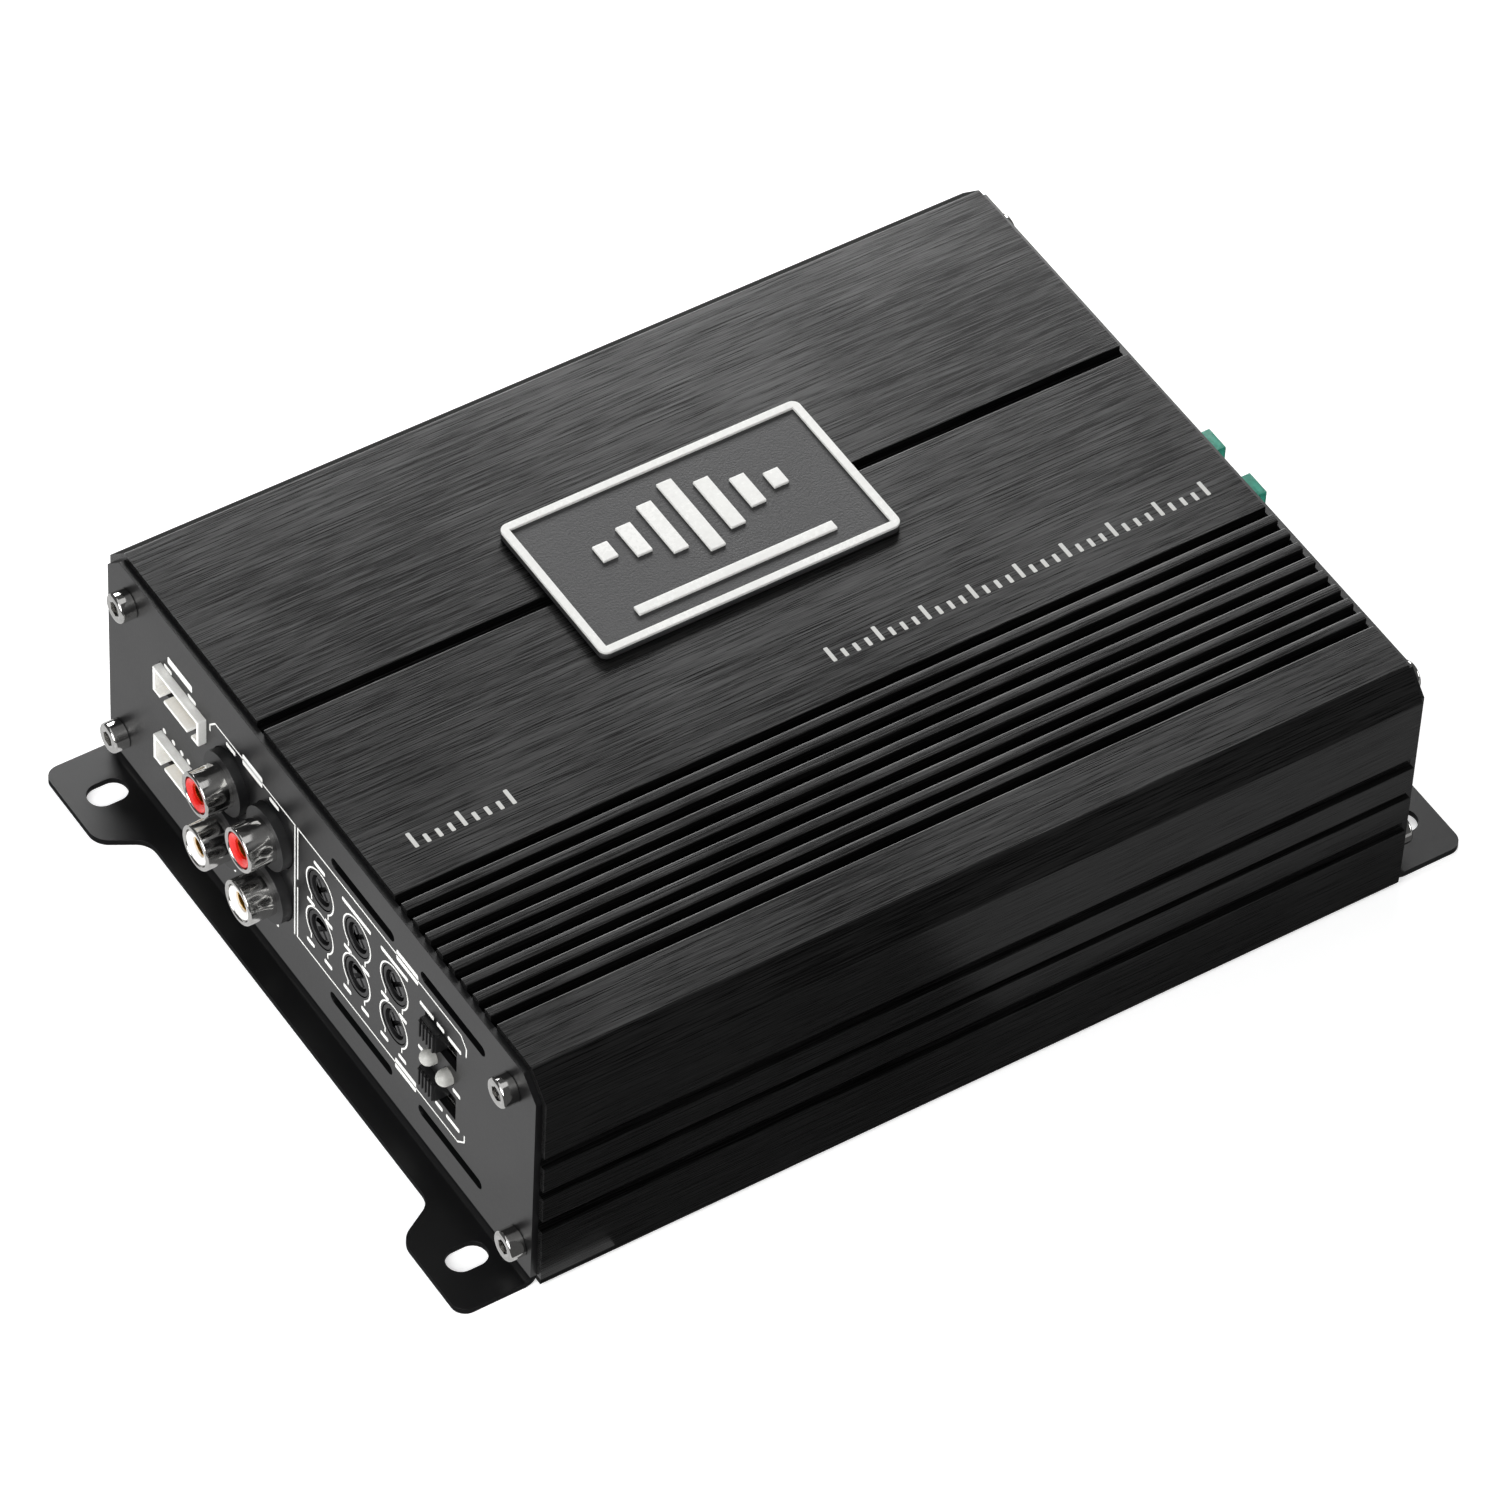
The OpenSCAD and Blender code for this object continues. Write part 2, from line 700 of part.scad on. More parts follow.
function trimmer_place(column, row) =
    [fy(trimmer_y - (column - 2) * trimmer_pitch_y), shell_low + trimmer_z + row * trimmer_pitch_z / 2];
function trimmer_places() = [for (c = [1:3]) for (r = [-1, 1]) trimmer_place(c, r)];

module trimmer_bodies() {
    color("#101010") at_end(-1) for (p = trimmer_places()) difference() {
        union() {
            translate([0, p[0], p[1]]) block([upright_x, -trimmer_body / 2, -trimmer_body / 2],
                [end_x - 0.3, trimmer_body / 2, trimmer_body / 2]);
            rod_x(end_x - 0.4, face_x - 0.1, p[0], p[1], trimmer_d);
        }
        rod_x(rotor_front - rotor_h - 0.3, face_x + 1, p[0], p[1], pocket_d);
        rod_x(upright_x + 2, face_x, p[0], p[1], spindle_d + 2 * spindle_gap);
    }
}

// A rotor with a cross slot, turned by a screwdriver
module rotor(column, row) {
    p = trimmer_place(column, row);
    color("gainsboro") at_end(-1) difference() {
        union() {
            rod_x(rotor_front - rotor_h, rotor_front, p[0], p[1], rotor_d);
            rod_x(upright_x + 2.3, rotor_front - rotor_h + 0.2, p[0], p[1], spindle_d);
        }
        translate([rotor_front - 1.2, p[0], p[1]]) for (a = [45, 135]) rotate([a, 0, 0])
            block([0, -2, -0.45], [2, 2, 0.45]);
    }
}

module rotor_1_upper() { rotor(1, 1); }
module rotor_1_lower() { rotor(1, -1); }
module rotor_2_upper() { rotor(2, 1); }
module rotor_2_lower() { rotor(2, -1); }
module rotor_3_upper() { rotor(3, 1); }
module rotor_3_lower() { rotor(3, -1); }

// ---- slide switches -----------------------------------------------------

switch_heights = [shell_low + switch_low_z, shell_low + switch_high_z];
window_w = lever_w + lever_travel + 2 * lever_gap;
window_h = lever_h + 1;
switch_front = end_x - 0.3;
slider_w = lever_w + 1.6;
slider_h = lever_h + 1.6;
switch_w = slider_w + lever_travel + 2 * lever_gap + 2;
switch_h = slider_h + 2 * lever_gap + 2;

module switch_bodies() {
    color("silver") at_end(-1) for (z = switch_heights) translate([0, fy(switch_y), z]) difference() {
        block([upright_x, -switch_w / 2, -switch_h / 2], [switch_front, switch_w / 2, switch_h / 2]);
        block([switch_front - 4, -switch_w / 2 + 1, -switch_h / 2 + 1],
            [switch_front - 0.8, switch_w / 2 - 1, switch_h / 2 - 1]);
        block([switch_front - 2, -window_w / 2, -lever_h / 2 - lever_gap],
            [switch_front + 1, window_w / 2, lever_h / 2 + lever_gap]);
    }
}

// A lever at its rest, the end of its travel away from the front face
module lever(z) {
    tip = face_x + lever_reach;
    color("#181818") at_end(-1) translate([0, fy(switch_y) + lever_travel / 2, z]) difference() {
        union() {
            block([switch_front - 3, -lever_w / 2, -lever_h / 2], [tip, lever_w / 2, lever_h / 2]);
            block([switch_front - 3.8, -slider_w / 2, -slider_h / 2],
                [switch_front - 1, slider_w / 2, slider_h / 2]);
        }
        for (i = [-1:1]) translate([0, i * lever_w / 4, 0])
            block([tip - 0.4, -0.3, -lever_h], [tip + 1, 0.3, lever_h]);
    }
}

module upper_switch_lever() { lever(switch_heights[1]); }
module lower_switch_lever() { lever(switch_heights[0]); }

// ---- indicator lamps ----------------------------------------------------

lamp_y = [27, 32];
lamp_z = shell_low + (switch_high_z + switch_low_z) / 2 + 0.2;

function lamp_places() = [for (y = lamp_y) [fy(y), lamp_z]];

// A round lamp with a domed end; it stands on its leads
module lamp(y) {
    dome_x = face_x + lamp_reach - lamp_d / 2;
    at_end(-1) {
        rod_x(end_x - 2, dome_x, fy(y), lamp_z, lamp_d);
        translate([dome_x, fy(y), lamp_z]) sphere(d = lamp_d);
        for (s = [-1, 1]) translate([0, fy(y), lamp_z])
            block([upright_x, s * 0.8 - 0.25, -0.25], [end_x - 1.9, s * 0.8 + 0.25, 0.25]);
    }
}

module power_lamp() { color("white") lamp(lamp_y[0]); }
module protection_lamp() { color("white") lamp(lamp_y[1]); }

// ---- terminal blocks ----------------------------------------------------

block_z = board_top;
block_tip = face_x + block_reach;
block_back = end_x - 14;
power_w = power_n * power_pitch + 2;
speaker_w = speaker_n * speaker_pitch + 2;
clamp_wall = 0.6;
way_gap = 0.05;

// Moulded modules in a row, one for each way, with thicker walls at both ends
module terminal_block(y, n, pitch, bore) {
    side = bore + 2 * clamp_wall + 0.2;
    for (i = [0:n - 1]) translate([0, fy(y) + (i - (n - 1) / 2) * pitch, 0]) difference() {
        block([block_back, -pitch / 2 + (i == 0 ? -1 : way_gap / 2), block_z],
            [block_tip, pitch / 2 + (i == n - 1 ? 1 : -way_gap / 2), block_z + block_h]);
        rod_x(block_back + 3, block_tip + 1, 0, wire_z, bore);
        block([clamp_back - 0.1, -side / 2, wire_z - side / 2],
            [clamp_front + 0.1, side / 2, wire_z + side / 2]);
        translate([clamp_mid, 0, wire_z]) cylinder(h = block_h, d = set_screw_d(bore) + 0.4);
    }
}

wire_z = block_z + block_h * 0.42;
clamp_front = block_tip - 1.2;
clamp_back = block_tip - 7.4;
clamp_mid = (clamp_front + clamp_back) / 2;
function set_screw_d(bore) = bore > 5 ? 5 : 2.6;

// The square brass clamps that hold the wires
module terminal_clamps(y, n, pitch, bore) {
    side = bore + 2 * clamp_wall;
    for (i = [0:n - 1]) translate([0, fy(y) + (i - (n - 1) / 2) * pitch, wire_z]) difference() {
        block([clamp_back, -side / 2, -side / 2], [clamp_front, side / 2, side / 2]);
        rod_x(clamp_back - 1, clamp_front + 1, 0, 0, bore);
        translate([clamp_mid, 0, 0]) cylinder(h = side, d = set_screw_d(bore) + 0.1);
    }
}

// Slotted set screws that press down into the clamps
module set_screws(y, n, pitch, bore) {
    top = block_z + block_h - 1.2;
    foot = wire_z + bore / 2 + 0.1;
    for (i = [0:n - 1])
        translate([clamp_mid, fy(y) + (i - (n - 1) / 2) * pitch, 0]) difference() {
            translate([0, 0, foot]) cylinder(h = top - foot, d = set_screw_d(bore));
            block([-0.35, -4, top - 1], [0.35, 4, top + 1]);
        }
}

module power_block() { color("#151515") terminal_block(power_y, power_n, power_pitch, power_bore_d); }
module power_clamps() { color("silver") terminal_clamps(power_y, power_n, power_pitch, power_bore_d); }
module power_set_screws() { color("silver") set_screws(power_y, power_n, power_pitch, power_bore_d); }
module speaker_block() {
    color("#151515") terminal_block(speaker_y, speaker_n, speaker_pitch, speaker_bore_d);
}
module speaker_clamps() {
    color("silver") terminal_clamps(speaker_y, speaker_n, speaker_pitch, speaker_bore_d);
}
module speaker_set_screws() {
    color("silver") set_screws(speaker_y, speaker_n, speaker_pitch, speaker_bore_d);
}

// ---- fuses --------------------------------------------------------------

holder_w = fuse_pitch + fuse_t + 2 * fuse_gap + 3;
holder_h = fuse_w + 2 * fuse_gap + 2.4;
fuse_z = block_z + fuse_lift + holder_h / 2;
fuse_tip = face_x + fuse_reach;
fuse_foot = fuse_tip - fuse_h;
blade_l = 7;
blade_w = 5.2;
blade_t = 0.65;
blade_z = fuse_w / 2 - blade_w / 2 - 0.6;
fuse_places = [fy(fuse_y + fuse_pitch / 2), fy(fuse_y - fuse_pitch / 2)];

module fuse_holder() {
    back = fuse_foot - blade_l - 3;
    color("#101010") difference() {
        union() {
            block([back, fy(fuse_y) - holder_w / 2, fuse_z - holder_h / 2],
                [face_x + 1, fy(fuse_y) + holder_w / 2, fuse_z + holder_h / 2]);
            block([back, fy(fuse_y) - holder_w / 2, block_z],
                [end_x - hole_gap, fy(fuse_y) + holder_w / 2, fuse_z - holder_h / 2]);
        }
        for (y = fuse_places) translate([0, y, fuse_z]) {
            block([fuse_foot - 0.2, -fuse_t / 2 - fuse_gap, -fuse_w / 2 - fuse_gap],
                [fuse_tip, fuse_t / 2 + fuse_gap, fuse_w / 2 + fuse_gap]);
            for (s = [-1, 1]) translate([0, 0, s * blade_z])
                block([fuse_foot - blade_l - 1, -1.3, -blade_w / 2 - 0.4],
                    [fuse_foot, 1.3, blade_w / 2 + 0.4]);
        }
    }
}

// Sprung leaves on both sides of each blade
module fuse_contacts() {
    color("silver") for (y = fuse_places) for (s = [-1, 1]) translate([0, y, fuse_z + s * blade_z])
        for (side = [-1, 1]) translate([0, side * (blade_t / 2 + 0.05 + 0.25), 0])
            block([fuse_foot - blade_l - 0.9, -0.25, -blade_w / 2], [fuse_foot - 1, 0.25, blade_w / 2]);
}

// The moulded grip of a blade fuse, with a shallow window in its end
module fuse_body(y) {
    color("mediumaquamarine") translate([0, y, fuse_z]) difference() {
        union() {
            block([fuse_foot, -fuse_t / 2 + 0.5, -fuse_w / 2],
                [fuse_tip, fuse_t / 2 - 0.5, fuse_w / 2]);
            block([fuse_tip - 5, -fuse_t / 2, -fuse_w / 2], [fuse_tip, fuse_t / 2, fuse_w / 2]);
        }
        block([fuse_tip - 0.8, -fuse_t / 2 + 1.2, -fuse_w / 2 + 1.4],
            [fuse_tip + 1, fuse_t / 2 - 1.2, fuse_w / 2 - 1.4]);
        for (s = [-1, 1]) translate([0, 0, s * blade_z])
            block([fuse_foot - 1, -blade_t / 2, -blade_w / 2], [fuse_foot + 3, blade_t / 2, blade_w / 2]);
    }
}

module fuse_blades(y) {
    color("silver") translate([0, y, fuse_z]) for (s = [-1, 1]) translate([0, 0, s * blade_z])
        block([fuse_foot - blade_l, -blade_t / 2, -blade_w / 2], [fuse_foot + 3, blade_t / 2, blade_w / 2]);
}

module left_fuse_body() { fuse_body(fuse_places[0]); }
module left_fuse_blades() { fuse_blades(fuse_places[0]); }
module right_fuse_body() { fuse_body(fuse_places[1]); }
module right_fuse_blades() { fuse_blades(fuse_places[1]); }

// ---- power stage --------------------------------------------------------

stage_n = 6;
stage_pitch = 15.5;
stage_back = 112;
stage_x0 = block_back - stage_back;
bar_t = 6.4;
pad_t = 0.3;
package_t = 4.4;
package_w = 10;
package_z = board_top + 5;
package_h = 15.6;
strip_t = 1.2;
bar_y = case_w / 2 - side_wall;
pad_y = bar_y - bar_t;
package_y = pad_y - pad_t;
strip_y = package_y - package_t;
stage_x1 = stage_x0 + (stage_n - 1) * stage_pitch;

function clamp_screw_x() = [for (i = [0:2:stage_n - 2]) stage_x0 + (i + 0.5) * stage_pitch];

module both_sides() {
    for (m = [0, 1]) mirror([0, m, 0]) children();
}

module heat_spreader_bars() {
    color("silver") both_sides() difference() {
        block([stage_x0 - 8, pad_y, package_z - 2], [stage_x1 + 8, bar_y, package_z + package_h + 2]);
        for (x = clamp_screw_x()) translate([x, pad_y - 1, package_z + package_h / 2])
            rotate([-90, 0, 0]) cylinder(h = 6, d = screw_d + 2 * screw_gap);
    }
}

module thermal_pads() {
    color("lightgray") both_sides() difference() {
        block([stage_x0 - 7, package_y, package_z - 1], [stage_x1 + 7, pad_y, package_z + package_h + 1]);
        for (x = clamp_screw_x()) translate([x, package_y - 1, package_z + package_h / 2])
            rotate([-90, 0, 0]) cylinder(h = 3, d = screw_d + 0.6);
    }
}

module power_transistors() {
    color("#202020") both_sides() for (i = [0:stage_n - 1])
        translate([stage_x0 + i * stage_pitch, 0, 0]) {
            block([-package_w / 2, strip_y, package_z], [package_w / 2, package_y, package_z + package_h]);
            for (k = [-1:1]) block([k * 2.54 - 0.4, strip_y + 1.6, board_top],
                [k * 2.54 + 0.4, strip_y + 2.2, package_z]);
        }
}

module clamp_strips() {
    mid = package_z + package_h / 2;
    color("silver") both_sides() difference() {
        block([stage_x0 - 6, strip_y - strip_t, mid - 4], [stage_x1 + 6, strip_y, mid + 4]);
        for (x = clamp_screw_x()) translate([x, strip_y - strip_t - 1, mid])
            rotate([-90, 0, 0]) cylinder(h = strip_t + 2, d = screw_d + 0.4);
    }
}

module clamp_screws() {
    color("silver") both_sides() for (x = clamp_screw_x())
        translate([x, strip_y - strip_t, package_z + package_h / 2]) rotate([-90, 0, 0]) {
            translate([0, 0, -2]) cylinder(h = 2, d = head_d);
            cylinder(h = strip_t + package_t + pad_t + 4.5, d = screw_d);
        }
}

// ---- supply and filters -------------------------------------------------

core_back = 40;
core_x = block_back - core_back;
core_room = 28;
core_y = 0;
core_r = 15;
core_bore_r = 8;
core_h = 12;
wire_t = 1.6;
turns = 22;
core_z = board_top + wire_t + 0.2;

module transformer_core() {
    color("#3a3a3a") translate([core_x, core_y, core_z]) difference() {
        cylinder(h = core_h, r = core_r);
        translate([0, 0, -1]) cylinder(h = core_h + 2, r = core_bore_r);
    }
}

// Turns of heavy wire wound round the core
module transformer_winding() {
    color("peru") translate([core_x, core_y, core_z]) for (i = [0:turns - 1])
        rotate([0, 0, i * 360 / turns]) difference() {
            block([core_bore_r - 0.3 - wire_t, -wire_t / 2, -wire_t - 0.05],
                [core_r + 0.1 + wire_t, wire_t / 2, core_h + wire_t + 0.05]);
            block([core_bore_r - 0.3, -wire_t, -0.05], [core_r + 0.1, wire_t, core_h + 0.05]);
        }
}

module reservoir_capacitors() {
    color("#222244") for (s = [-1.5:1.5]) translate([core_x - core_room, s * 19, board_top]) {
        cylinder(h = 27, d = 16);
        translate([0, 0, 27]) cylinder(h = 0.6, d = 13);
    }
}

module output_inductors() {
    color("#444444") for (i = [0:3]) translate([core_x + core_room, (i - 1.5) * 13.5 - 26.5, board_top]) {
        block([-6, -6, 0], [6, 6, 9]);
        translate([0, 0, 9]) cylinder(h = 1.5, d = 8);
    }
}

chips_in = 40;

module driver_chips() {
    color("#181818") for (i = [0:2]) translate([chips_in - end_x, -22 + i * 22, board_top + 0.1]) {
        block([-7, -5, 0], [7, 5, 2.2]);
        for (k = [0:5]) for (s = [-1, 1])
            block([-6.2 + k * 2.3, s * 6 - 1.1, 0], [-5.5 + k * 2.3, s * 6 + 1.1, 0.5]);
    }
}

heatsink_shell();
bottom_plate();
bottom_plate_screws();
input_end_panel();
output_end_panel();
input_panel_screws();
output_panel_screws();
badge_plate();
badge_rim_frame();
badge_emblem();
main_board();
board_screws();
control_board();
header_board();
insulating_sheet();
socket_housing();
socket_barrels();
upper_socket_inserts();
lower_socket_inserts();
socket_contacts();
upper_header();
lower_header();
upper_header_pins();
lower_header_pins();
trimmer_bodies();
rotor_1_upper();
rotor_1_lower();
rotor_2_upper();
rotor_2_lower();
rotor_3_upper();
rotor_3_lower();
switch_bodies();
upper_switch_lever();
lower_switch_lever();
power_lamp();
protection_lamp();
power_block();
power_clamps();
power_set_screws();
speaker_block();
speaker_clamps();
speaker_set_screws();
fuse_holder();
fuse_contacts();
left_fuse_body();
left_fuse_blades();
right_fuse_body();
right_fuse_blades();
heat_spreader_bars();
thermal_pads();
power_transistors();
clamp_strips();
clamp_screws();
transformer_core();
transformer_winding();
reservoir_capacitors();
output_inductors();
driver_chips();
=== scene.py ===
"""Car amplifier: detailed pieces, finishes, light and camera over the fixed frame."""

import json
import logging
import math
from collections.abc import Iterable, Sequence
from dataclasses import dataclass, replace
from enum import Enum

import bmesh
import bpy
from mathutils import Matrix, Vector

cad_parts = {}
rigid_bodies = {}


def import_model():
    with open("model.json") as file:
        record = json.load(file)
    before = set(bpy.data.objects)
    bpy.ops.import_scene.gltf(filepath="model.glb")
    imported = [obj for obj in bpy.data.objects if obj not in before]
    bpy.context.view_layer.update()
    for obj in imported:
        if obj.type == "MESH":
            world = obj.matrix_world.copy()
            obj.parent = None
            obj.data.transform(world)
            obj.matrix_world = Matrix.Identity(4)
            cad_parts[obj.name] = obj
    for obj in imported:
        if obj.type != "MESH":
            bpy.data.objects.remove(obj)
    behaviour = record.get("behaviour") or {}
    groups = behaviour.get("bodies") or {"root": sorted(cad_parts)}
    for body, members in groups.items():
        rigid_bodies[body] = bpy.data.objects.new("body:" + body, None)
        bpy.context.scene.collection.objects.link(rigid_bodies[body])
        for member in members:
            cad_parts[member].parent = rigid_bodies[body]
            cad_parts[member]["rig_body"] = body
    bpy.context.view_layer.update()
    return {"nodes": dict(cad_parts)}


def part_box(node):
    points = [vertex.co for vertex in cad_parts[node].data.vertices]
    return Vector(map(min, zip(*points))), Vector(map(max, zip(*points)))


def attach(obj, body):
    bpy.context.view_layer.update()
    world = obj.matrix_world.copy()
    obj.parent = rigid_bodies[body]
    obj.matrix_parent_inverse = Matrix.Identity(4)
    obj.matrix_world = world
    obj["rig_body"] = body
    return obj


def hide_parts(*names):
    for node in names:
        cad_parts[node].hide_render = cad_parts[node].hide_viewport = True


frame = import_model()

MM = 0.001
LOG = logging.getLogger("amplifier")
Tree, Node, Socket = bpy.types.NodeTree, bpy.types.Node, bpy.types.NodeSocket
Object, Mesh = bpy.types.Object, bpy.types.Mesh
Point2 = tuple[float, float]
Point3 = tuple[float, float, float]
Ring = tuple[float, float, int]


class End(Enum):
    """The two ends of the extrusion, as the sign of X."""

    INPUT = -1
    OUTPUT = 1


# ---- shader and geometry node helpers ---------------------------------------


def linear(hex_colour: str) -> tuple[float, float, float, float]:
    """Turns an sRGB hex colour to linear.

    Args:
        hex_colour: Six hex digits after a hash.

    Returns:
        Linear red, green and blue, and an alpha of 1.
    """
    parts = [int(hex_colour[i : i + 2], 16) / 255 for i in (1, 3, 5)]
    made = [p / 12.92 if p <= 0.04045 else ((p + 0.055) / 1.055) ** 2.4 for p in parts]
    return (made[0], made[1], made[2], 1.0)


def add_node(tree: Tree, kind: str, inputs: dict | None = None, **settings: object) -> Node:
    """Adds a node with its settings, its input values and its links.

    Args:
        tree: The tree that gets the node.
        kind: Blender's name for the node type.
        inputs: Values, or output sockets to link, by input name or number.
        settings: Properties of the node, by name.

    Returns:
        The new node.
    """
    node = tree.nodes.new(kind)
    for name, value in settings.items():
        setattr(node, name, value)
    for key, value in (inputs or {}).items():
        if isinstance(value, Socket):
            tree.links.new(value, node.inputs[key])
        else:
            node.inputs[key].default_value = value
    return node


def new_material(name: str) -> tuple[bpy.types.Material, Tree]:
    """A new material and its empty tree."""
    made = bpy.data.materials.new(name)
    made.use_nodes = True
    made.node_tree.nodes.clear()
    return made, made.node_tree


def noise(tree: Tree, place: Socket, scale: float, detail: float, rough: float = 0.5) -> Socket:
    """The strength of a noise, from 0 to 1."""
    inputs = {"Vector": place, "Scale": scale, "Detail": detail, "Roughness": rough}
    return add_node(tree, "ShaderNodeTexNoise", inputs).outputs["Fac"]


def mapped(tree: Tree, value: Socket, low: float, high: float, to: Point2 = (0.0, 1.0)) -> Socket:
    """Brings the range from low to high of a value to another range."""
    inputs = {"Value": value, "From Min": low, "From Max": high, "To Min": to[0], "To Max": to[1]}
    return add_node(tree, "ShaderNodeMapRange", inputs).outputs[0]


def reckoned(tree: Tree, operation: str, *values: Socket) -> Socket:
    """One step of arithmetic on one or two values."""
    inputs = dict(enumerate(values))
    return add_node(tree, "ShaderNodeMath", inputs, operation=operation).outputs[0]


def blended(tree: Tree, share: Socket, dark: object, light: object) -> Socket:
    """The colour at a share of the way from dark to light; each is a colour or a socket."""
    inputs = {0: share, 6: dark, 7: light}
    return add_node(tree, "ShaderNodeMix", inputs, data_type="RGBA").outputs[2]


# ---- finishes -----------------------------------------------------------------


@dataclass(frozen=True)
class Finish:
    """A surface with a fine grain, a broad unevenness and a relief that follows the grain.

    dark and light are the ends of its colour range. grain_mm is the size of the grain and
    stretch how many times longer it is along X, Y and Z. cloud_mm is the size of the broad
    unevenness, which moves the roughness between its two values. sockets holds what is the
    same all over the surface.
    """

    name: str
    slot: str
    dark: str
    light: str
    grain_mm: float = 0.6
    stretch: Point3 = (1.0, 1.0, 1.0)
    relief_mm: float = 0.01
    cloud_mm: float = 24.0
    rough: Point2 = (0.4, 0.5)
    sockets: tuple[tuple[str, object], ...] = ()

    def material(self) -> bpy.types.Material:
        """Builds the material once, and returns it."""
        known = bpy.data.materials.get(self.name)
        if known:
            return known
        made, tree = new_material(self.name)
        shader = add_node(tree, "ShaderNodeBsdfPrincipled", dict(self.sockets))
        add_node(tree, "ShaderNodeOutputMaterial", {"Surface": shader.outputs["BSDF"]})
        place = add_node(tree, "ShaderNodeTexCoord").outputs["Object"]
        self.dress(tree, shader, place)
        return made

    def pattern(self, tree: Tree, place: Socket) -> Socket:
        """The fine pattern, from 0 to 1. A kind of surface with another pattern replaces it."""
        scale = tuple(1 / (self.grain_mm * MM * s) for s in self.stretch)
        sized = add_node(tree, "ShaderNodeMapping", {"Vector": place, "Scale": scale})
        return noise(tree, sized.outputs[0], 1.0, detail=4.0, rough=0.6)

    def dress(self, tree: Tree, shader: Node, place: Socket) -> None:
        """Links colour, roughness and relief to the shader.

        Args:
            tree: The material's tree.
            shader: Its Principled BSDF.
            place: Object coordinates.
        """
        grain = self.pattern(tree, place)
        cloud = noise(tree, place, 1 / (self.cloud_mm * MM), detail=3.0)
        both = reckoned(tree, "ADD", grain, cloud)
        share = mapped(tree, both, 0.65, 1.35)
        colour = blended(tree, share, linear(self.dark), linear(self.light))
        rough = mapped(tree, both, 0.7, 1.3, to=self.rough)
        relief = add_node(
            tree,
            "ShaderNodeBump",
            {"Height": grain, "Distance": self.relief_mm * MM, "Strength": 1.0},
        )
        tree.links.new(colour, shader.inputs["Base Color"])
        tree.links.new(rough, shader.inputs["Roughness"])
        tree.links.new(relief.outputs[0], shader.inputs["Normal"])
        self.wear(tree, shader, place)

    def wear(self, tree: Tree, shader: Node, place: Socket) -> None:
        """Marks of use or making over the finish. The plain finish has none."""


@dataclass(frozen=True)
class SawnAnodised(Finish):
    """An anodised extrusion whose sawn ends show bare metal along their corners."""

    end_x_mm: float = 84.0
    bare_mm: float = 0.06
    chip_mm: float = 0.8
    bare: str = "#4c4c4c"

    def pattern(self, tree: Tree, place: Socket) -> Socket:
        """Short brush strokes over longer ones, with more contrast than plain noise."""
        strokes = []
        for wider, longer in ((1.0, 1.0), (1.3, 2.0)):
            scale = tuple(
                1 / (self.grain_mm * MM * s * (longer if s > 1 else wider)) for s in self.stretch
            )
            sized = add_node(tree, "ShaderNodeMapping", {"Vector": place, "Scale": scale})
            strokes.append(noise(tree, sized.outputs[0], 1.0, detail=3.0, rough=0.65))
        return mapped(tree, reckoned(tree, "ADD", *strokes), 0.76, 1.24)

    def wear(self, tree: Tree, shader: Node, place: Socket) -> None:
        """Lays the bare metal over the last part of each end, broken by a fine noise."""
        along = add_node(tree, "ShaderNodeSeparateXYZ", {0: place}).outputs[0]
        reach = reckoned(tree, "ABSOLUTE", along)
        near = mapped(tree, reach, (self.end_x_mm - self.bare_mm) * MM, self.end_x_mm * MM)
        chips = noise(tree, place, 1 / (self.chip_mm * MM), detail=2.0)
        edge = mapped(tree, reckoned(tree, "MULTIPLY", near, chips), 0.3, 0.6)
        below = shader.inputs["Base Color"].links[0].from_socket
        colour = blended(tree, edge, below, linear(self.bare))
        tree.links.new(colour, shader.inputs["Base Color"])


@dataclass(frozen=True)
class TrackedBoard(Finish):
    """A solder-masked board: copper tracks show as paler lines under the green."""

    track_mm: float = 2.6

    def pattern(self, tree: Tree, place: Socket) -> Socket:
        """Straight-sided track shapes, from the borders of square cells."""
        cells = add_node(
            tree,
            "ShaderNodeTexVoronoi",
            {"Vector": place, "Scale": 1 / (self.track_mm * MM), "Randomness": 0.7},
            distance="CHEBYCHEV",
        )
        return mapped(tree, cells.outputs["Distance"], 0.42, 0.5)


@dataclass(frozen=True)
class WoundWire(Finish):
    """Enamelled wire: bands that run round a winding a wire's width apart."""

    wire_mm: float = 0.8

    def pattern(self, tree: Tree, place: Socket) -> Socket:
        """Even bands along Z."""
        bands = add_node(
            tree,
            "ShaderNodeTexWave",
            {"Vector": place, "Scale": 0.32 / (self.wire_mm * MM), "Distortion": 0.4},
            bands_direction="Z",
        )
        return bands.outputs["Fac"]


def metal(rough: Point2, **more: object) -> dict:
    """The settings shared by the metals: fully metallic, with the given roughness range."""
    return {"rough": rough, "sockets": (("Metallic", 1.0),), **more}


# Black-anodised aluminium extrusion, brushed along its length: long hair-fine streaks that
# catch the light. The streaks are drawn 0.17 mm wide, coarser than real ones, so they show.
ANODISED = SawnAnodised(
    "brushed_anodised_aluminium", "brushed_aluminium", "#1c1c1c", "#3e3e3e",
    grain_mm=0.17, stretch=(60.0, 1.0, 1.0), relief_mm=0.004, cloud_mm=60.0,
    rough=(0.26, 0.34), sockets=(("Metallic", 0.9),),
)  # fmt: skip
# Fine-textured black powder coat on bent steel, baked: satin, with a faint orange peel.
POWDER = Finish(
    "satin_black_powder_coat", "black_powder_coat", "#0c0c0d", "#111112",
    grain_mm=0.5, relief_mm=0.006, rough=(0.30, 0.36),
)  # fmt: skip
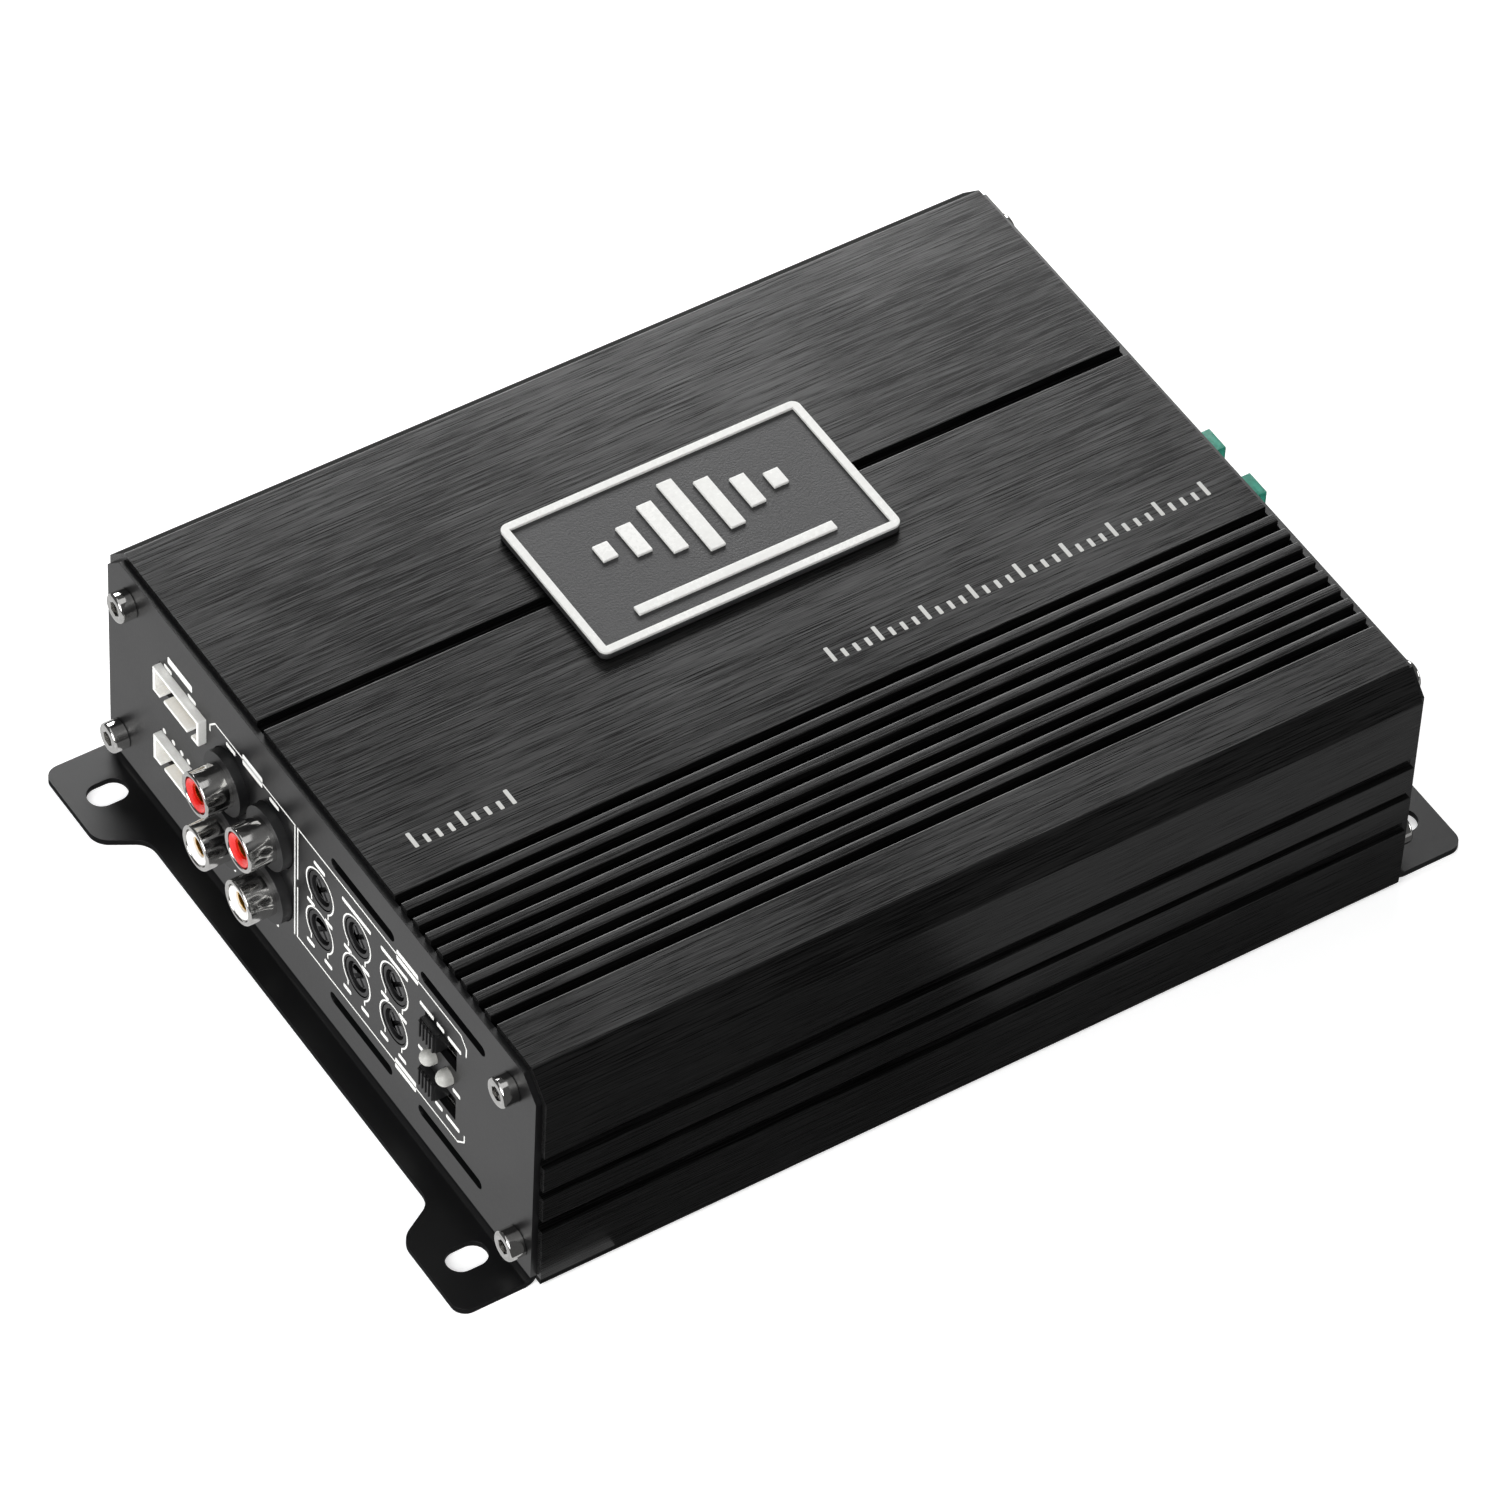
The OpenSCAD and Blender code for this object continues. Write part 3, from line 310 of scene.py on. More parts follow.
# Black-painted steel sheet for the underside: plainer and rougher than the panels.
PAINTED_STEEL = Finish(
    "black_painted_steel", "black_steel", "#101011", "#1a1a1b",
    grain_mm=0.7, relief_mm=0.012, rough=(0.42, 0.55),
)  # fmt: skip
# Black-oxide screw steel, lightly oiled.
BLACK_SCREW = Finish(
    "black_oxide_steel", "black_steel", "#161617", "#26262a",
    grain_mm=0.3, relief_mm=0.004, **metal((0.32, 0.45)),
)  # fmt: skip
# Bright nickel plate over turned steel or brass: mirror-like, with faint turning marks.
NICKEL = Finish(
    "bright_nickel_plate", "nickel_plate", "#c4c3c1", "#dddcda",
    grain_mm=0.2, stretch=(1.0, 4.0, 4.0), relief_mm=0.0008, **metal((0.07, 0.13)),
)  # fmt: skip
# Gold flash on the contacts: warm, a little dulled.
GOLD = Finish(
    "gold_flash", "gold_plate", "#c79a3f", "#e0b75a",
    grain_mm=0.3, relief_mm=0.002, **metal((0.22, 0.32)),
)  # fmt: skip
# Screen-printed white epoxy ink: slightly thin at its edges, with a dry sheen.
INK = Finish(
    "white_screen_ink", "badge_white", "#d9d9d6", "#f2f2ef",
    grain_mm=0.18, relief_mm=0.004, rough=(0.5, 0.62),
)  # fmt: skip
# Grey ink on the anodised top.
TOP_INK = replace(INK, name="grey_screen_ink", dark="#b9b9b6", light="#d2d2cf")
# Spark-eroded black face of the badge: an even, sand-like texture about 0.4 mm across.
BADGE_FACE = Finish(
    "spark_eroded_black_abs", "badge_black", "#1d1d1e", "#39393a",
    grain_mm=0.4, relief_mm=0.10, rough=(0.5, 0.6),
)  # fmt: skip
# Glossy white ABS for the badge's raised edge and emblem.
BADGE_WHITE = Finish(
    "moulded_white_abs", "badge_white", "#e4e4e1", "#f1f1ee",
    grain_mm=0.8, relief_mm=0.003, rough=(0.22, 0.3),
)  # fmt: skip
# Injection-moulded black nylon for blocks and housings: a fine matt grain from the tool.
BLACK_NYLON = Finish(
    "moulded_black_nylon", "black_plastic", "#121213", "#1d1d1e",
    grain_mm=0.25, relief_mm=0.008, rough=(0.38, 0.5),
)  # fmt: skip
# Glossy moulded cores of the phono sockets.
RED_CORE = Finish(
    "moulded_red_abs", "red_plastic", "#c41410", "#dd1f18",
    grain_mm=0.5, relief_mm=0.003, rough=(0.18, 0.28), sockets=(("Coat Weight", 0.3),),
)  # fmt: skip
WHITE_CORE = replace(
    RED_CORE, name="moulded_white_core", slot="white_plastic", dark="#ececea", light="#f7f7f5"
)
# White nylon of the header shells: bright, with a low gloss.
WHITE_NYLON = Finish(
    "moulded_white_nylon", "white_plastic", "#e6e6e2", "#f4f4f1",
    grain_mm=0.4, relief_mm=0.004, rough=(0.3, 0.42),
    sockets=(("Subsurface Weight", 0.1), ("Subsurface Radius", (1.0, 1.0, 1.0))),
)  # fmt: skip
# Dark grey acetal of the trimmer rotors.
GREY_ACETAL = Finish(
    "moulded_grey_acetal", "grey_plastic", "#2a2a2b", "#3d3d3e",
    grain_mm=0.3, relief_mm=0.004, rough=(0.35, 0.48),
)  # fmt: skip
# Frosted epoxy lens of a lamp: milky and soft, lit through by the light around it.
FROSTED = Finish(
    "frosted_epoxy", "lamp_epoxy", "#a9a9a5", "#bdbdb8",
    grain_mm=0.3, relief_mm=0.006, rough=(0.35, 0.5),
    sockets=(
        ("Subsurface Weight", 0.4), ("Subsurface Scale", 0.001),
        ("Subsurface Radius", (1.0, 1.0, 1.0)), ("IOR", 1.55),
    ),
)  # fmt: skip
# Tinted polysulfone of the blade fuses: clear enough to glow at its edges.
FUSE_GREEN = Finish(
    "tinted_fuse_plastic", "green_fuse_plastic", "#2aa78e", "#45c6aa",
    grain_mm=0.6, relief_mm=0.003, rough=(0.16, 0.24),
    sockets=(("Transmission Weight", 0.45), ("IOR", 1.58)),
)  # fmt: skip
# Green solder mask over glass-epoxy laminate.
BOARD = TrackedBoard(
    "solder_mask_green", "circuit_board", "#0b3a20", "#14532e",
    relief_mm=0.03, rough=(0.28, 0.4),
)  # fmt: skip
# Matt insulating film and thermal pads: cast sheet, faintly mottled.
FILM = Finish(
    "insulating_film", "insulator", "#7c7f80", "#989b9a",
    grain_mm=1.2, relief_mm=0.01, rough=(0.5, 0.65),
)  # fmt: skip
# Sintered ferrite: dark grey, dry and slightly rough.
FERRITE = Finish(
    "sintered_ferrite", "ferrite", "#2a2a2b", "#3b3b3c",
    grain_mm=0.35, relief_mm=0.02, rough=(0.5, 0.66),
)  # fmt: skip
# Enamelled copper wire: glossy amber over bright copper.
COPPER = WoundWire(
    "enamelled_copper_wire", "enamelled_copper", "#8d4a22", "#c06f38",
    relief_mm=0.12, rough=(0.22, 0.34), sockets=(("Metallic", 0.9), ("Coat Weight", 0.5)),
)  # fmt: skip
# Shrink sleeve of the capacitors: dark blue vinyl drawn tight over the can.
SLEEVE = Finish(
    "vinyl_sleeve", "capacitor_sleeve", "#15163a", "#20214c",
    grain_mm=1.0, relief_mm=0.006, rough=(0.26, 0.36),
)  # fmt: skip


# ---- meshes -------------------------------------------------------------------


def moved(place: Point3, turn: Matrix | None = None) -> Matrix:
    """A matrix that turns a shape and then moves it to a place in metres."""
    return Matrix.Translation(place) @ (turn or Matrix.Identity(3)).to_4x4()


def facing(end: End) -> Matrix:
    """The turn that points a shape's +Z out of one end of the amplifier."""
    return Matrix.Rotation(math.radians(90 * end.value), 3, "Y")


def arc(centre: Point2, radius: float, start: float, end: float, steps: int) -> list[Point2]:
    """Points along an arc, with its angles in degrees."""
    angles = [math.radians(start + (end - start) * i / steps) for i in range(steps + 1)]
    return [(centre[0] + radius * math.cos(a), centre[1] + radius * math.sin(a)) for a in angles]


def eased(outline: Sequence[Point2], radius: float, steps: int = 2) -> list[Point2]:
    """Rounds every corner of a closed outline.

    Args:
        outline: The corners in order.
        radius: How far from a corner its rounding starts.
        steps: Straight stretches in each rounding.

    Returns:
        The rounded outline.
    """
    made: list[Point2] = []
    for i, corner in enumerate(outline):
        here, before, after = (
            Vector(corner), Vector(outline[i - 1]), Vector(outline[(i + 1) % len(outline)])
        )  # fmt: skip
        reach = min(radius, (here - before).length * 0.4, (after - here).length * 0.4)
        start = here + (before - here).normalized() * reach
        end = here + (after - here).normalized() * reach
        for k in range(steps + 1):
            t = k / steps
            point = start * (1 - t) ** 2 + here * 2 * t * (1 - t) + end * t**2
            made.append((point.x, point.y))
    return made


class Shape:
    """A mesh in the making, in metres, that ends as one piece on the object."""

    def __init__(self) -> None:
        """Starts empty."""
        self.mesh = bmesh.new()

    def polygon_prism(self, outline: Sequence[Point2], depth: float, place: Matrix) -> "Shape":
        """Adds an outline in X and Y, made solid along +Z, then put in its place."""
        low = [self.mesh.verts.new(place @ Vector((x, y, 0))) for x, y in outline]
        high = [self.mesh.verts.new(place @ Vector((x, y, depth))) for x, y in outline]
        self.mesh.faces.new(list(reversed(low)))
        self.mesh.faces.new(high)
        count = len(outline)
        for i in range(count):
            k = (i + 1) % count
            self.mesh.faces.new([low[i], low[k], high[k], high[i]])
        return self

    def box(self, low: Point3, high: Point3, ease: float = 0.0) -> "Shape":
        """Adds a box between two corners, its edges rounded by ease."""
        made = bmesh.ops.create_cube(self.mesh, size=1.0)["verts"]
        size = [h - l for l, h in zip(low, high)]
        middle = [(h + l) / 2 for l, h in zip(low, high)]
        for vert in made:
            vert.co = Vector([m + c * s for m, c, s in zip(middle, vert.co, size)])
        if ease:
            edges = list({edge for vert in made for edge in vert.link_edges})
            bmesh.ops.bevel(self.mesh, geom=edges, offset=ease, segments=2, affect="EDGES")
        return self

    def rings(self, rings: Sequence[Ring], place: Matrix, sides: int = 36) -> "Shape":
        """Adds a turned shape: a skin over rings, closed by a flat face at both ends.

        Args:
            rings: Radius, height and corner number of each ring; 0 corners is a circle.
            place: Where the shape's own +Z axis and foot go.
            sides: Vertices in each ring, a multiple of every corner number.
        """
        loops = []
        for radius, height, corners in rings:
            loop = []
            for i in range(sides):
                angle = 2 * math.pi * i / sides
                reach = radius
                if corners:
                    half = math.pi / corners
                    reach = radius * math.cos(half) / math.cos((angle % (2 * half)) - half)
                loop.append(
                    self.mesh.verts.new(
                        place @ Vector((reach * math.cos(angle), reach * math.sin(angle), height))
                    )
                )
            loops.append(loop)
        for low, high in zip(loops, loops[1:]):
            for i in range(sides):
                k = (i + 1) % sides
                self.mesh.faces.new([low[i], low[k], high[k], high[i]])
        self.mesh.faces.new(list(reversed(loops[0])))
        self.mesh.faces.new(loops[-1])
        return self

    def tube(self, rings: Sequence[Ring], sides: int = 48) -> "Shape":
        """Adds a turned part with a bore through it: the wall inside joins the end rings."""
        self.rings(rings, Matrix.Identity(4), sides)
        caps = [face for face in self.mesh.faces if len(face.verts) == sides]
        bmesh.ops.delete(self.mesh, geom=caps, context="FACES_ONLY")
        open_edges = [edge for edge in self.mesh.edges if edge.is_boundary]
        bmesh.ops.bridge_loops(self.mesh, edges=open_edges)
        return self

    def ribbon(
        self, points: Sequence[Point2], width: float, depth: float, place: Matrix
    ) -> "Shape":
        """Adds a line of even width along points, with mitred corners, as a thin solid."""
        left, right = [], []
        for i, point in enumerate(points):
            here = Vector(point)
            before = (here - Vector(points[i - 1])).normalized() if i else None
            after = (Vector(points[i + 1]) - here).normalized() if i + 1 < len(points) else None
            along = ((before or after) + (after or before)).normalized()
            side = Vector((-along.y, along.x))
            stretch = max(0.5, along.dot(after or before))
            left.append(tuple(here + side * width / 2 / stretch))
            right.append(tuple(here - side * width / 2 / stretch))
        for i in range(len(points) - 1):
            self.polygon_prism([right[i], right[i + 1], left[i + 1], left[i]], depth, place)
        return self

    def data(self, name: str) -> Mesh:
        """Ends the work and returns the plain mesh."""
        bmesh.ops.recalc_face_normals(self.mesh, faces=self.mesh.faces[:])
        made = bpy.data.meshes.new(name)
        self.mesh.to_mesh(made)
        self.mesh.free()
        return made

    def loose(self, name: str) -> Object:
        """Ends the work as an object in the scene, not yet shaded."""
        return loose(self.data(name + "_draft"), name + "_draft")

    def piece(self, name: str, angle: float = 50) -> Object:
        """Ends the work as a shaded piece: edges that turn more than the angle are sharp."""
        return with_edges(self.loose(name), 0.0, name, angle)


def baked(host: Object, name: str) -> Object:
    """Turns an object and its modifiers into a new plain mesh object, and removes the host."""
    bpy.context.view_layer.update()
    graph = bpy.context.evaluated_depsgraph_get()
    made = bpy.data.meshes.new_from_object(
        host.evaluated_get(graph), preserve_all_data_layers=True, depsgraph=graph
    )
    bpy.data.objects.remove(host)
    made.name = name
    result = bpy.data.objects.new(name, made)
    bpy.context.scene.collection.objects.link(result)
    return result


def loose(mesh: Mesh, name: str) -> Object:
    """Links a mesh to the scene as an object."""
    made = bpy.data.objects.new(name, mesh)
    bpy.context.scene.collection.objects.link(made)
    return made


def with_edges(host: Object, width: float, name: str, angle: float = 35) -> Object:
    """Rounds the sharp edges of an object and shades it smooth between them.

    Args:
        host: The object, which is used up.
        width: The width of the rounding in metres; 0 leaves the edges sharp.
        name: The name of the result.
        angle: Edges that turn more than this, in degrees, are sharp.

    Returns:
        The new object.
    """
    host.data.shade_smooth()
    if width:
        bevel = host.modifiers.new("edge_rounding", "BEVEL")
        bevel.width, bevel.segments = width, 2
        bevel.limit_method, bevel.angle_limit = "ANGLE", math.radians(angle)
        bevel.harden_normals = True
    else:
        host.data.set_sharp_from_angle(angle=math.radians(angle))
    even = host.modifiers.new("even_shading", "WEIGHTED_NORMAL")
    even.keep_sharp, even.weight = True, 100
    return baked(host, name)


def carved(host: Object, cutter: Object, name: str) -> Object:
    """Cuts one object out of another, and removes both."""
    cut = host.modifiers.new("cut", "BOOLEAN")
    cut.operation, cut.object, cut.solver = "DIFFERENCE", cutter, "EXACT"
    made = baked(host, name)
    bpy.data.objects.remove(cutter)
    return made


def frame_copy(node: str, ease: float, name: str) -> Object:
    """A clean copy of a frame node with rounded edges.

    Args:
        node: The node to follow.
        ease: The width of the rounding in metres.
        name: The name of the new piece.

    Returns:
        The new object, not yet dressed.
    """
    copy = bmesh.new()
    copy.from_mesh(frame["nodes"][node].data)
    bmesh.ops.remove_doubles(copy, verts=copy.verts[:], dist=0.002 * MM)
    bmesh.ops.dissolve_limit(
        copy, angle_limit=math.radians(0.6), verts=copy.verts[:], edges=copy.edges[:]
    )
    mesh = bpy.data.meshes.new(name + "_draft")
    copy.to_mesh(mesh)
    copy.free()
    mesh.materials.clear()
    return with_edges(loose(mesh, name + "_draft"), ease, name)


def dressed(piece: Object, finish: Finish, *nodes: str) -> Object:
    """Gives a piece its finish and lets it stand for its frame nodes, on their body."""
    piece.data.materials.clear()
    piece.data.materials.append(finish.material())
    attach(piece, frame["nodes"][nodes[0]]["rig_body"])
    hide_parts(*nodes)
    LOG.info("%s: %d faces for %s", piece.name, len(piece.data.polygons), ", ".join(nodes))
    return piece


def followed(node: str, finish: Finish, ease_mm: float, name: str) -> None:
    """A copy of a frame node with rounded edges, in its finish, that stands for that node."""
    dressed(frame_copy(node, ease_mm * MM, name), finish, node)


def printed(shape: Shape, finish: Finish, name: str) -> None:
    """Ends a thin print as a piece on the casing; it stands for no node."""
    piece = shape.piece(name, angle=35)
    piece.data.materials.append(finish.material())
    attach(piece, "casing")
    LOG.info("%s: %d faces", name, len(piece.data.polygons))


def painted(node: str, finish: Finish) -> None:
    """Gives a frame node, whose shape stays, a detailed finish."""
    piece = frame["nodes"][node]
    if not piece.material_slots:
        piece.data.materials.append(None)
    for slot in piece.material_slots:
        slot.material = finish.material()
    LOG.info("%s: frame shape in %s", node, finish.name)


# ---- geometry node trees ------------------------------------------------------


def new_tree(name: str, inputs: Iterable[tuple[str, str]]) -> tuple[Tree, Node]:
    """Starts a geometry tree with a Geometry input and output and the named inputs.

    Args:
        name: The tree's name.
        inputs: Name and socket type of each further input.

    Returns:
        The tree and its Group Input node.
    """
    tree = bpy.data.node_groups.new(name, "GeometryNodeTree")
    tree.interface.new_socket("Geometry", in_out="INPUT", socket_type="NodeSocketGeometry")
    for label, kind in inputs:
        tree.interface.new_socket(label, in_out="INPUT", socket_type=kind)
    tree.interface.new_socket("Geometry", in_out="OUTPUT", socket_type="NodeSocketGeometry")
    return tree, tree.nodes.new("NodeGroupInput")


def end_tree(tree: Tree, geometry: Socket, finish: Socket) -> Tree:
    """Closes a tree with Realize Instances and Set Material, and returns it."""
    solid = add_node(tree, "GeometryNodeRealizeInstances", {0: geometry})
    dressed_part = add_node(
        tree, "GeometryNodeSetMaterial", {"Geometry": solid.outputs[0], "Material": finish}
    )
    add_node(tree, "NodeGroupOutput", {0: dressed_part.outputs[0]})
    return tree


def repeat_tree() -> Tree:
    """A tree that puts a part on every point of a mesh, each spun at random about its axis."""
    tree, given = new_tree(
        "part_on_each_place",
        [
            ("Part", "NodeSocketObject"),
            ("Turn", "NodeSocketVector"),
            ("Largest spin", "NodeSocketFloat"),
            ("Seed", "NodeSocketInt"),
            ("Finish", "NodeSocketMaterial"),
        ],
    )
    part = add_node(tree, "GeometryNodeObjectInfo", {"Object": given.outputs["Part"]})
    placed = add_node(
        tree,
        "GeometryNodeInstanceOnPoints",
        {
            "Points": given.outputs["Geometry"],
            "Instance": part.outputs["Geometry"],
            "Rotation": given.outputs["Turn"],
        },
    )
    spin = add_node(
        tree,
        "FunctionNodeRandomValue",
        {"Max": given.outputs["Largest spin"], "Seed": given.outputs["Seed"]},
        data_type="FLOAT",
    )
    turn = add_node(tree, "ShaderNodeCombineXYZ", {"Z": spin.outputs["Value"]})
    spun = add_node(
        tree,
        "GeometryNodeRotateInstances",
        {"Instances": placed.outputs[0], "Rotation": turn.outputs[0]},
    )
    return end_tree(tree, spun.outputs[0], given.outputs["Finish"])


def extrusion_tree() -> Tree:
    """A tree that draws a flat section out to a length, as a die does."""
    tree, given = new_tree(
        "drawn_section", [("Length", "NodeSocketFloat"), ("Finish", "NodeSocketMaterial")]
    )
    way = add_node(tree, "ShaderNodeCombineXYZ", {"X": given.outputs["Length"]})
    section = given.outputs["Geometry"]
    drawn = add_node(
        tree,
        "GeometryNodeExtrudeMesh",
        {"Mesh": section, "Offset": way.outputs[0], "Individual": False},
    )
    back = add_node(tree, "GeometryNodeFlipFaces", {"Mesh": section})
    whole = add_node(tree, "GeometryNodeJoinGeometry", {0: drawn.outputs["Mesh"]})
    tree.links.new(back.outputs[0], whole.inputs[0])
    sealed = add_node(
        tree, "GeometryNodeMergeByDistance", {"Geometry": whole.outputs[0], "Distance": 0.001 * MM}
    )
    return end_tree(tree, sealed.outputs[0], given.outputs["Finish"])


def run_tree(tree: Tree, host: Object, name: str, **inputs: object) -> Object:
    """Runs a geometry tree on an object with the named inputs, and bakes the result.

    Args:
        tree: The tree to run.
        host: The object that gives its geometry, which is used up.
        name: The name of the result.
        inputs: Values by the input's name, with underscores for spaces.

    Returns:
        The plain mesh object.
    """
    maker = host.modifiers.new("maker", "NODES")
    maker.node_group = tree
    known = {
        item.name: item.identifier
        for item in tree.interface.items_tree
        if item.in_out == "INPUT"
    }
    for label, value in inputs.items():
        maker[known[label.replace("_", " ")]] = value
    return baked(host, name)


@dataclass
class Maker:
    """Holds the trees, each built once, and runs them."""

    repeat: Tree
    drawn: Tree

    def on_each(
        self,
        part: Object,
        places: Sequence[Point3],
        name: str,
        finish: Finish,
        turn: Point3 = (0.0, 0.0, 0.0),
        spin: float = 0.0,
    ) -> Object:
        """Puts a part on each place, as one plain mesh.

        Args:
            part: The part, modelled about its own +Z axis.
            places: Where its foot goes, in metres.
            name: The name of the result.
            finish: The finish of every copy.
            turn: Euler turn of the part, in radians.
            spin: Largest random spin about the part's own axis, in radians.

        Returns:
            The new object.
        """
        spots = bpy.data.meshes.new(name + "_places")
        spots.from_pydata(list(places), [], [])
        made = run_tree(
            self.repeat, loose(spots, name + "_places"), name,
            Part=part, Turn=turn, Largest_spin=spin, Seed=7, Finish=finish.material(),
        )  # fmt: skip
        bpy.data.objects.remove(part)
        return made


OUT_OF_INPUT = (0.0, math.radians(-90), 0.0)
OUT_OF_OUTPUT = (0.0, math.radians(90), 0.0)


def grid_of(node: str, columns: int, rows: int, part_y: float, part_z: float) -> list[Point2]:
    """Centres of a grid of equal parts that fills a node's box in Y and Z.

    Args:
        node: The node that holds the parts.
        columns: Parts along Y.
        rows: Parts along Z.
        part_y: Size of one part along Y, in metres.
        part_z: Size of one part along Z, in metres.

    Returns:
        Y and Z of each part, in metres.
    """
    low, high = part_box(node)

    def spread(start: float, end: float, size: float, count: int) -> list[float]:
        """Evenly spaced middles from one end of a span to the other."""
        if count == 1:
            return [(start + end) / 2]
        step = (end - start - size) / (count - 1)
        return [start + size / 2 + i * step for i in range(count)]

    return [
        (y, z)
        for y in spread(low.y, high.y, part_y, columns)
        for z in spread(low.z, high.z, part_z, rows)
    ]


# ---- sub-assemblies -----------------------------------------------------------


@dataclass
class Heatsink:
    """The extruded shell, with its fin field, single groove and side grooves. Sizes in mm."""

    groove_n: int = 9
    groove_w: float = 1.8
    groove_pitch: float = 3.65
    groove_depth: float = 3.0
    groove_start: float = 15.0
    seam_y: float = 88.2
    seam_w: float = 2.1
    seam_depth: float = 2.0
    side_grooves: tuple[Point2, ...] = ((14.3, 2.7), (22.15, 1.7), (30.0, 2.7))
    side_depth: float = 1.3
    edge_cut: float = 4.6
    top_wall: float = 5.6
    side_wall: float = 3.2
    rail_w: float = 14.5
    board_margin: float = 8.7
    lip_w: float = 1.6
    bottom_t: float = 1.2
    board_low: float = 7.6
    board_high: float = 9.5
    boss_r: float = 3.5
    screw_y: Point2 = (8.4, 5.2)
    screw_z: Point2 = (41.4, 6.6)
    boss_gap: float = 0.1
    ease: float = 0.22

    def outside(self, width: float, height: float) -> list[Point2]:
        """The outer edge of the section, from the lower corner at +Y round to that at -Y, in mm."""
        half, cut = width / 2, self.edge_cut
        side = []
        for z, w in self.side_grooves:
            inner = half - self.side_depth
            side += [(half, z - w / 2), (inner, z - w / 2), (inner, z + w / 2), (half, z + w / 2)]
        grooves = [
            (self.groove_start + i * self.groove_pitch, self.groove_w, self.groove_depth)
            for i in range(self.groove_n)
        ]
        grooves.append((self.seam_y - self.seam_w / 2, self.seam_w, self.seam_depth))
        top = []
        for start, w, depth in reversed(grooves):
            far, near, floor = start + w - half, start - half, height - depth
            top += [(far, height), (far, floor), (near, floor), (near, height)]
        other = [(-y, z) for y, z in reversed(side)]
        return (
            [(half, 0.0)] + side + [(half, height - cut), (half - cut, height)]
            + top + [(cut - half, height), (-half, height - cut)] + other + [(-half, 0.0)]
        )  # fmt: skip

    def inside(self, width: float, height: float) -> list[Point2]:
        """The edge of the hollow, from the lower lip at -Y round to that at +Y, in mm."""
        half, ceiling = width / 2, height - self.top_wall
        rail, slot, wall = half - self.rail_w, half - self.board_margin, half - self.side_wall
        right = [
            (half - self.lip_w, 0.0), (half - self.lip_w, self.bottom_t), (rail, self.bottom_t),
            (rail, self.board_low), (slot, self.board_low), (slot, self.board_high),
            (wall, self.board_high + 1.7), (wall, ceiling - 2), (wall - 2, ceiling),
        ]  # fmt: skip
        return [(-y, z) for y, z in right] + list(reversed(right))

    def build(self, maker: Maker) -> None:
        """Draws the section out to the shell's length and adds the screw bosses inside."""
        low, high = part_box("heatsink_shell")
        width, height = (high.y - low.y) / MM, (high.z - low.z) / MM
        outline = eased(self.outside(width, height) + self.inside(width, height), self.ease)
        section = bmesh.new()
        corners = [section.verts.new((low.x, y * MM, low.z + z * MM)) for y, z in outline]
        face = section.faces.new(corners)
        face.normal_update()
        if face.normal.x < 0:
            face.normal_flip()
        mesh = bpy.data.meshes.new("shell_section")
        section.to_mesh(mesh)
        section.free()
        drawn = run_tree(
            maker.drawn, loose(mesh, "shell_section"), "shell_draft",
            Length=high.x - low.x, Finish=ANODISED.material(),
        )  # fmt: skip
        whole = bmesh.new()
        whole.from_mesh(drawn.data)
        bosses = Shape()
        for side in (-1, 1):
            for y, z in zip(self.screw_y, self.screw_z):
                reach = (high.x - low.x) / 2 - self.boss_gap * MM
                middle = side * (width / 2 - y) * MM
                turn = Matrix.Rotation(math.radians(90), 3, "Y")
                rings = [(self.boss_r * MM, -reach, 0), (self.boss_r * MM, reach, 0)]
                bosses.rings(rings, moved((0, middle, low.z + z * MM), turn), 24)
        whole.from_mesh(bosses.data("bosses"))
        whole.to_mesh(drawn.data)
        whole.free()
        shell = with_edges(drawn, 0.0, "extruded_shell", angle=28)
        dressed(shell, ANODISED, "heatsink_shell")


@dataclass
class SheetMetal:
    """The bent end panels and the bottom plate, with deburred edges. Sizes in mm."""

    ease: float = 0.16

    def build(self) -> None:
        """Rounds each sheet's edges and powder-coats the panels."""
        for end in End:
            name = end.name.lower()
            followed(f"{name}_end_panel", POWDER, self.ease, f"{name}_panel_sheet")
        followed("bottom_plate", PAINTED_STEEL, self.ease, "bottom_plate_sheet")


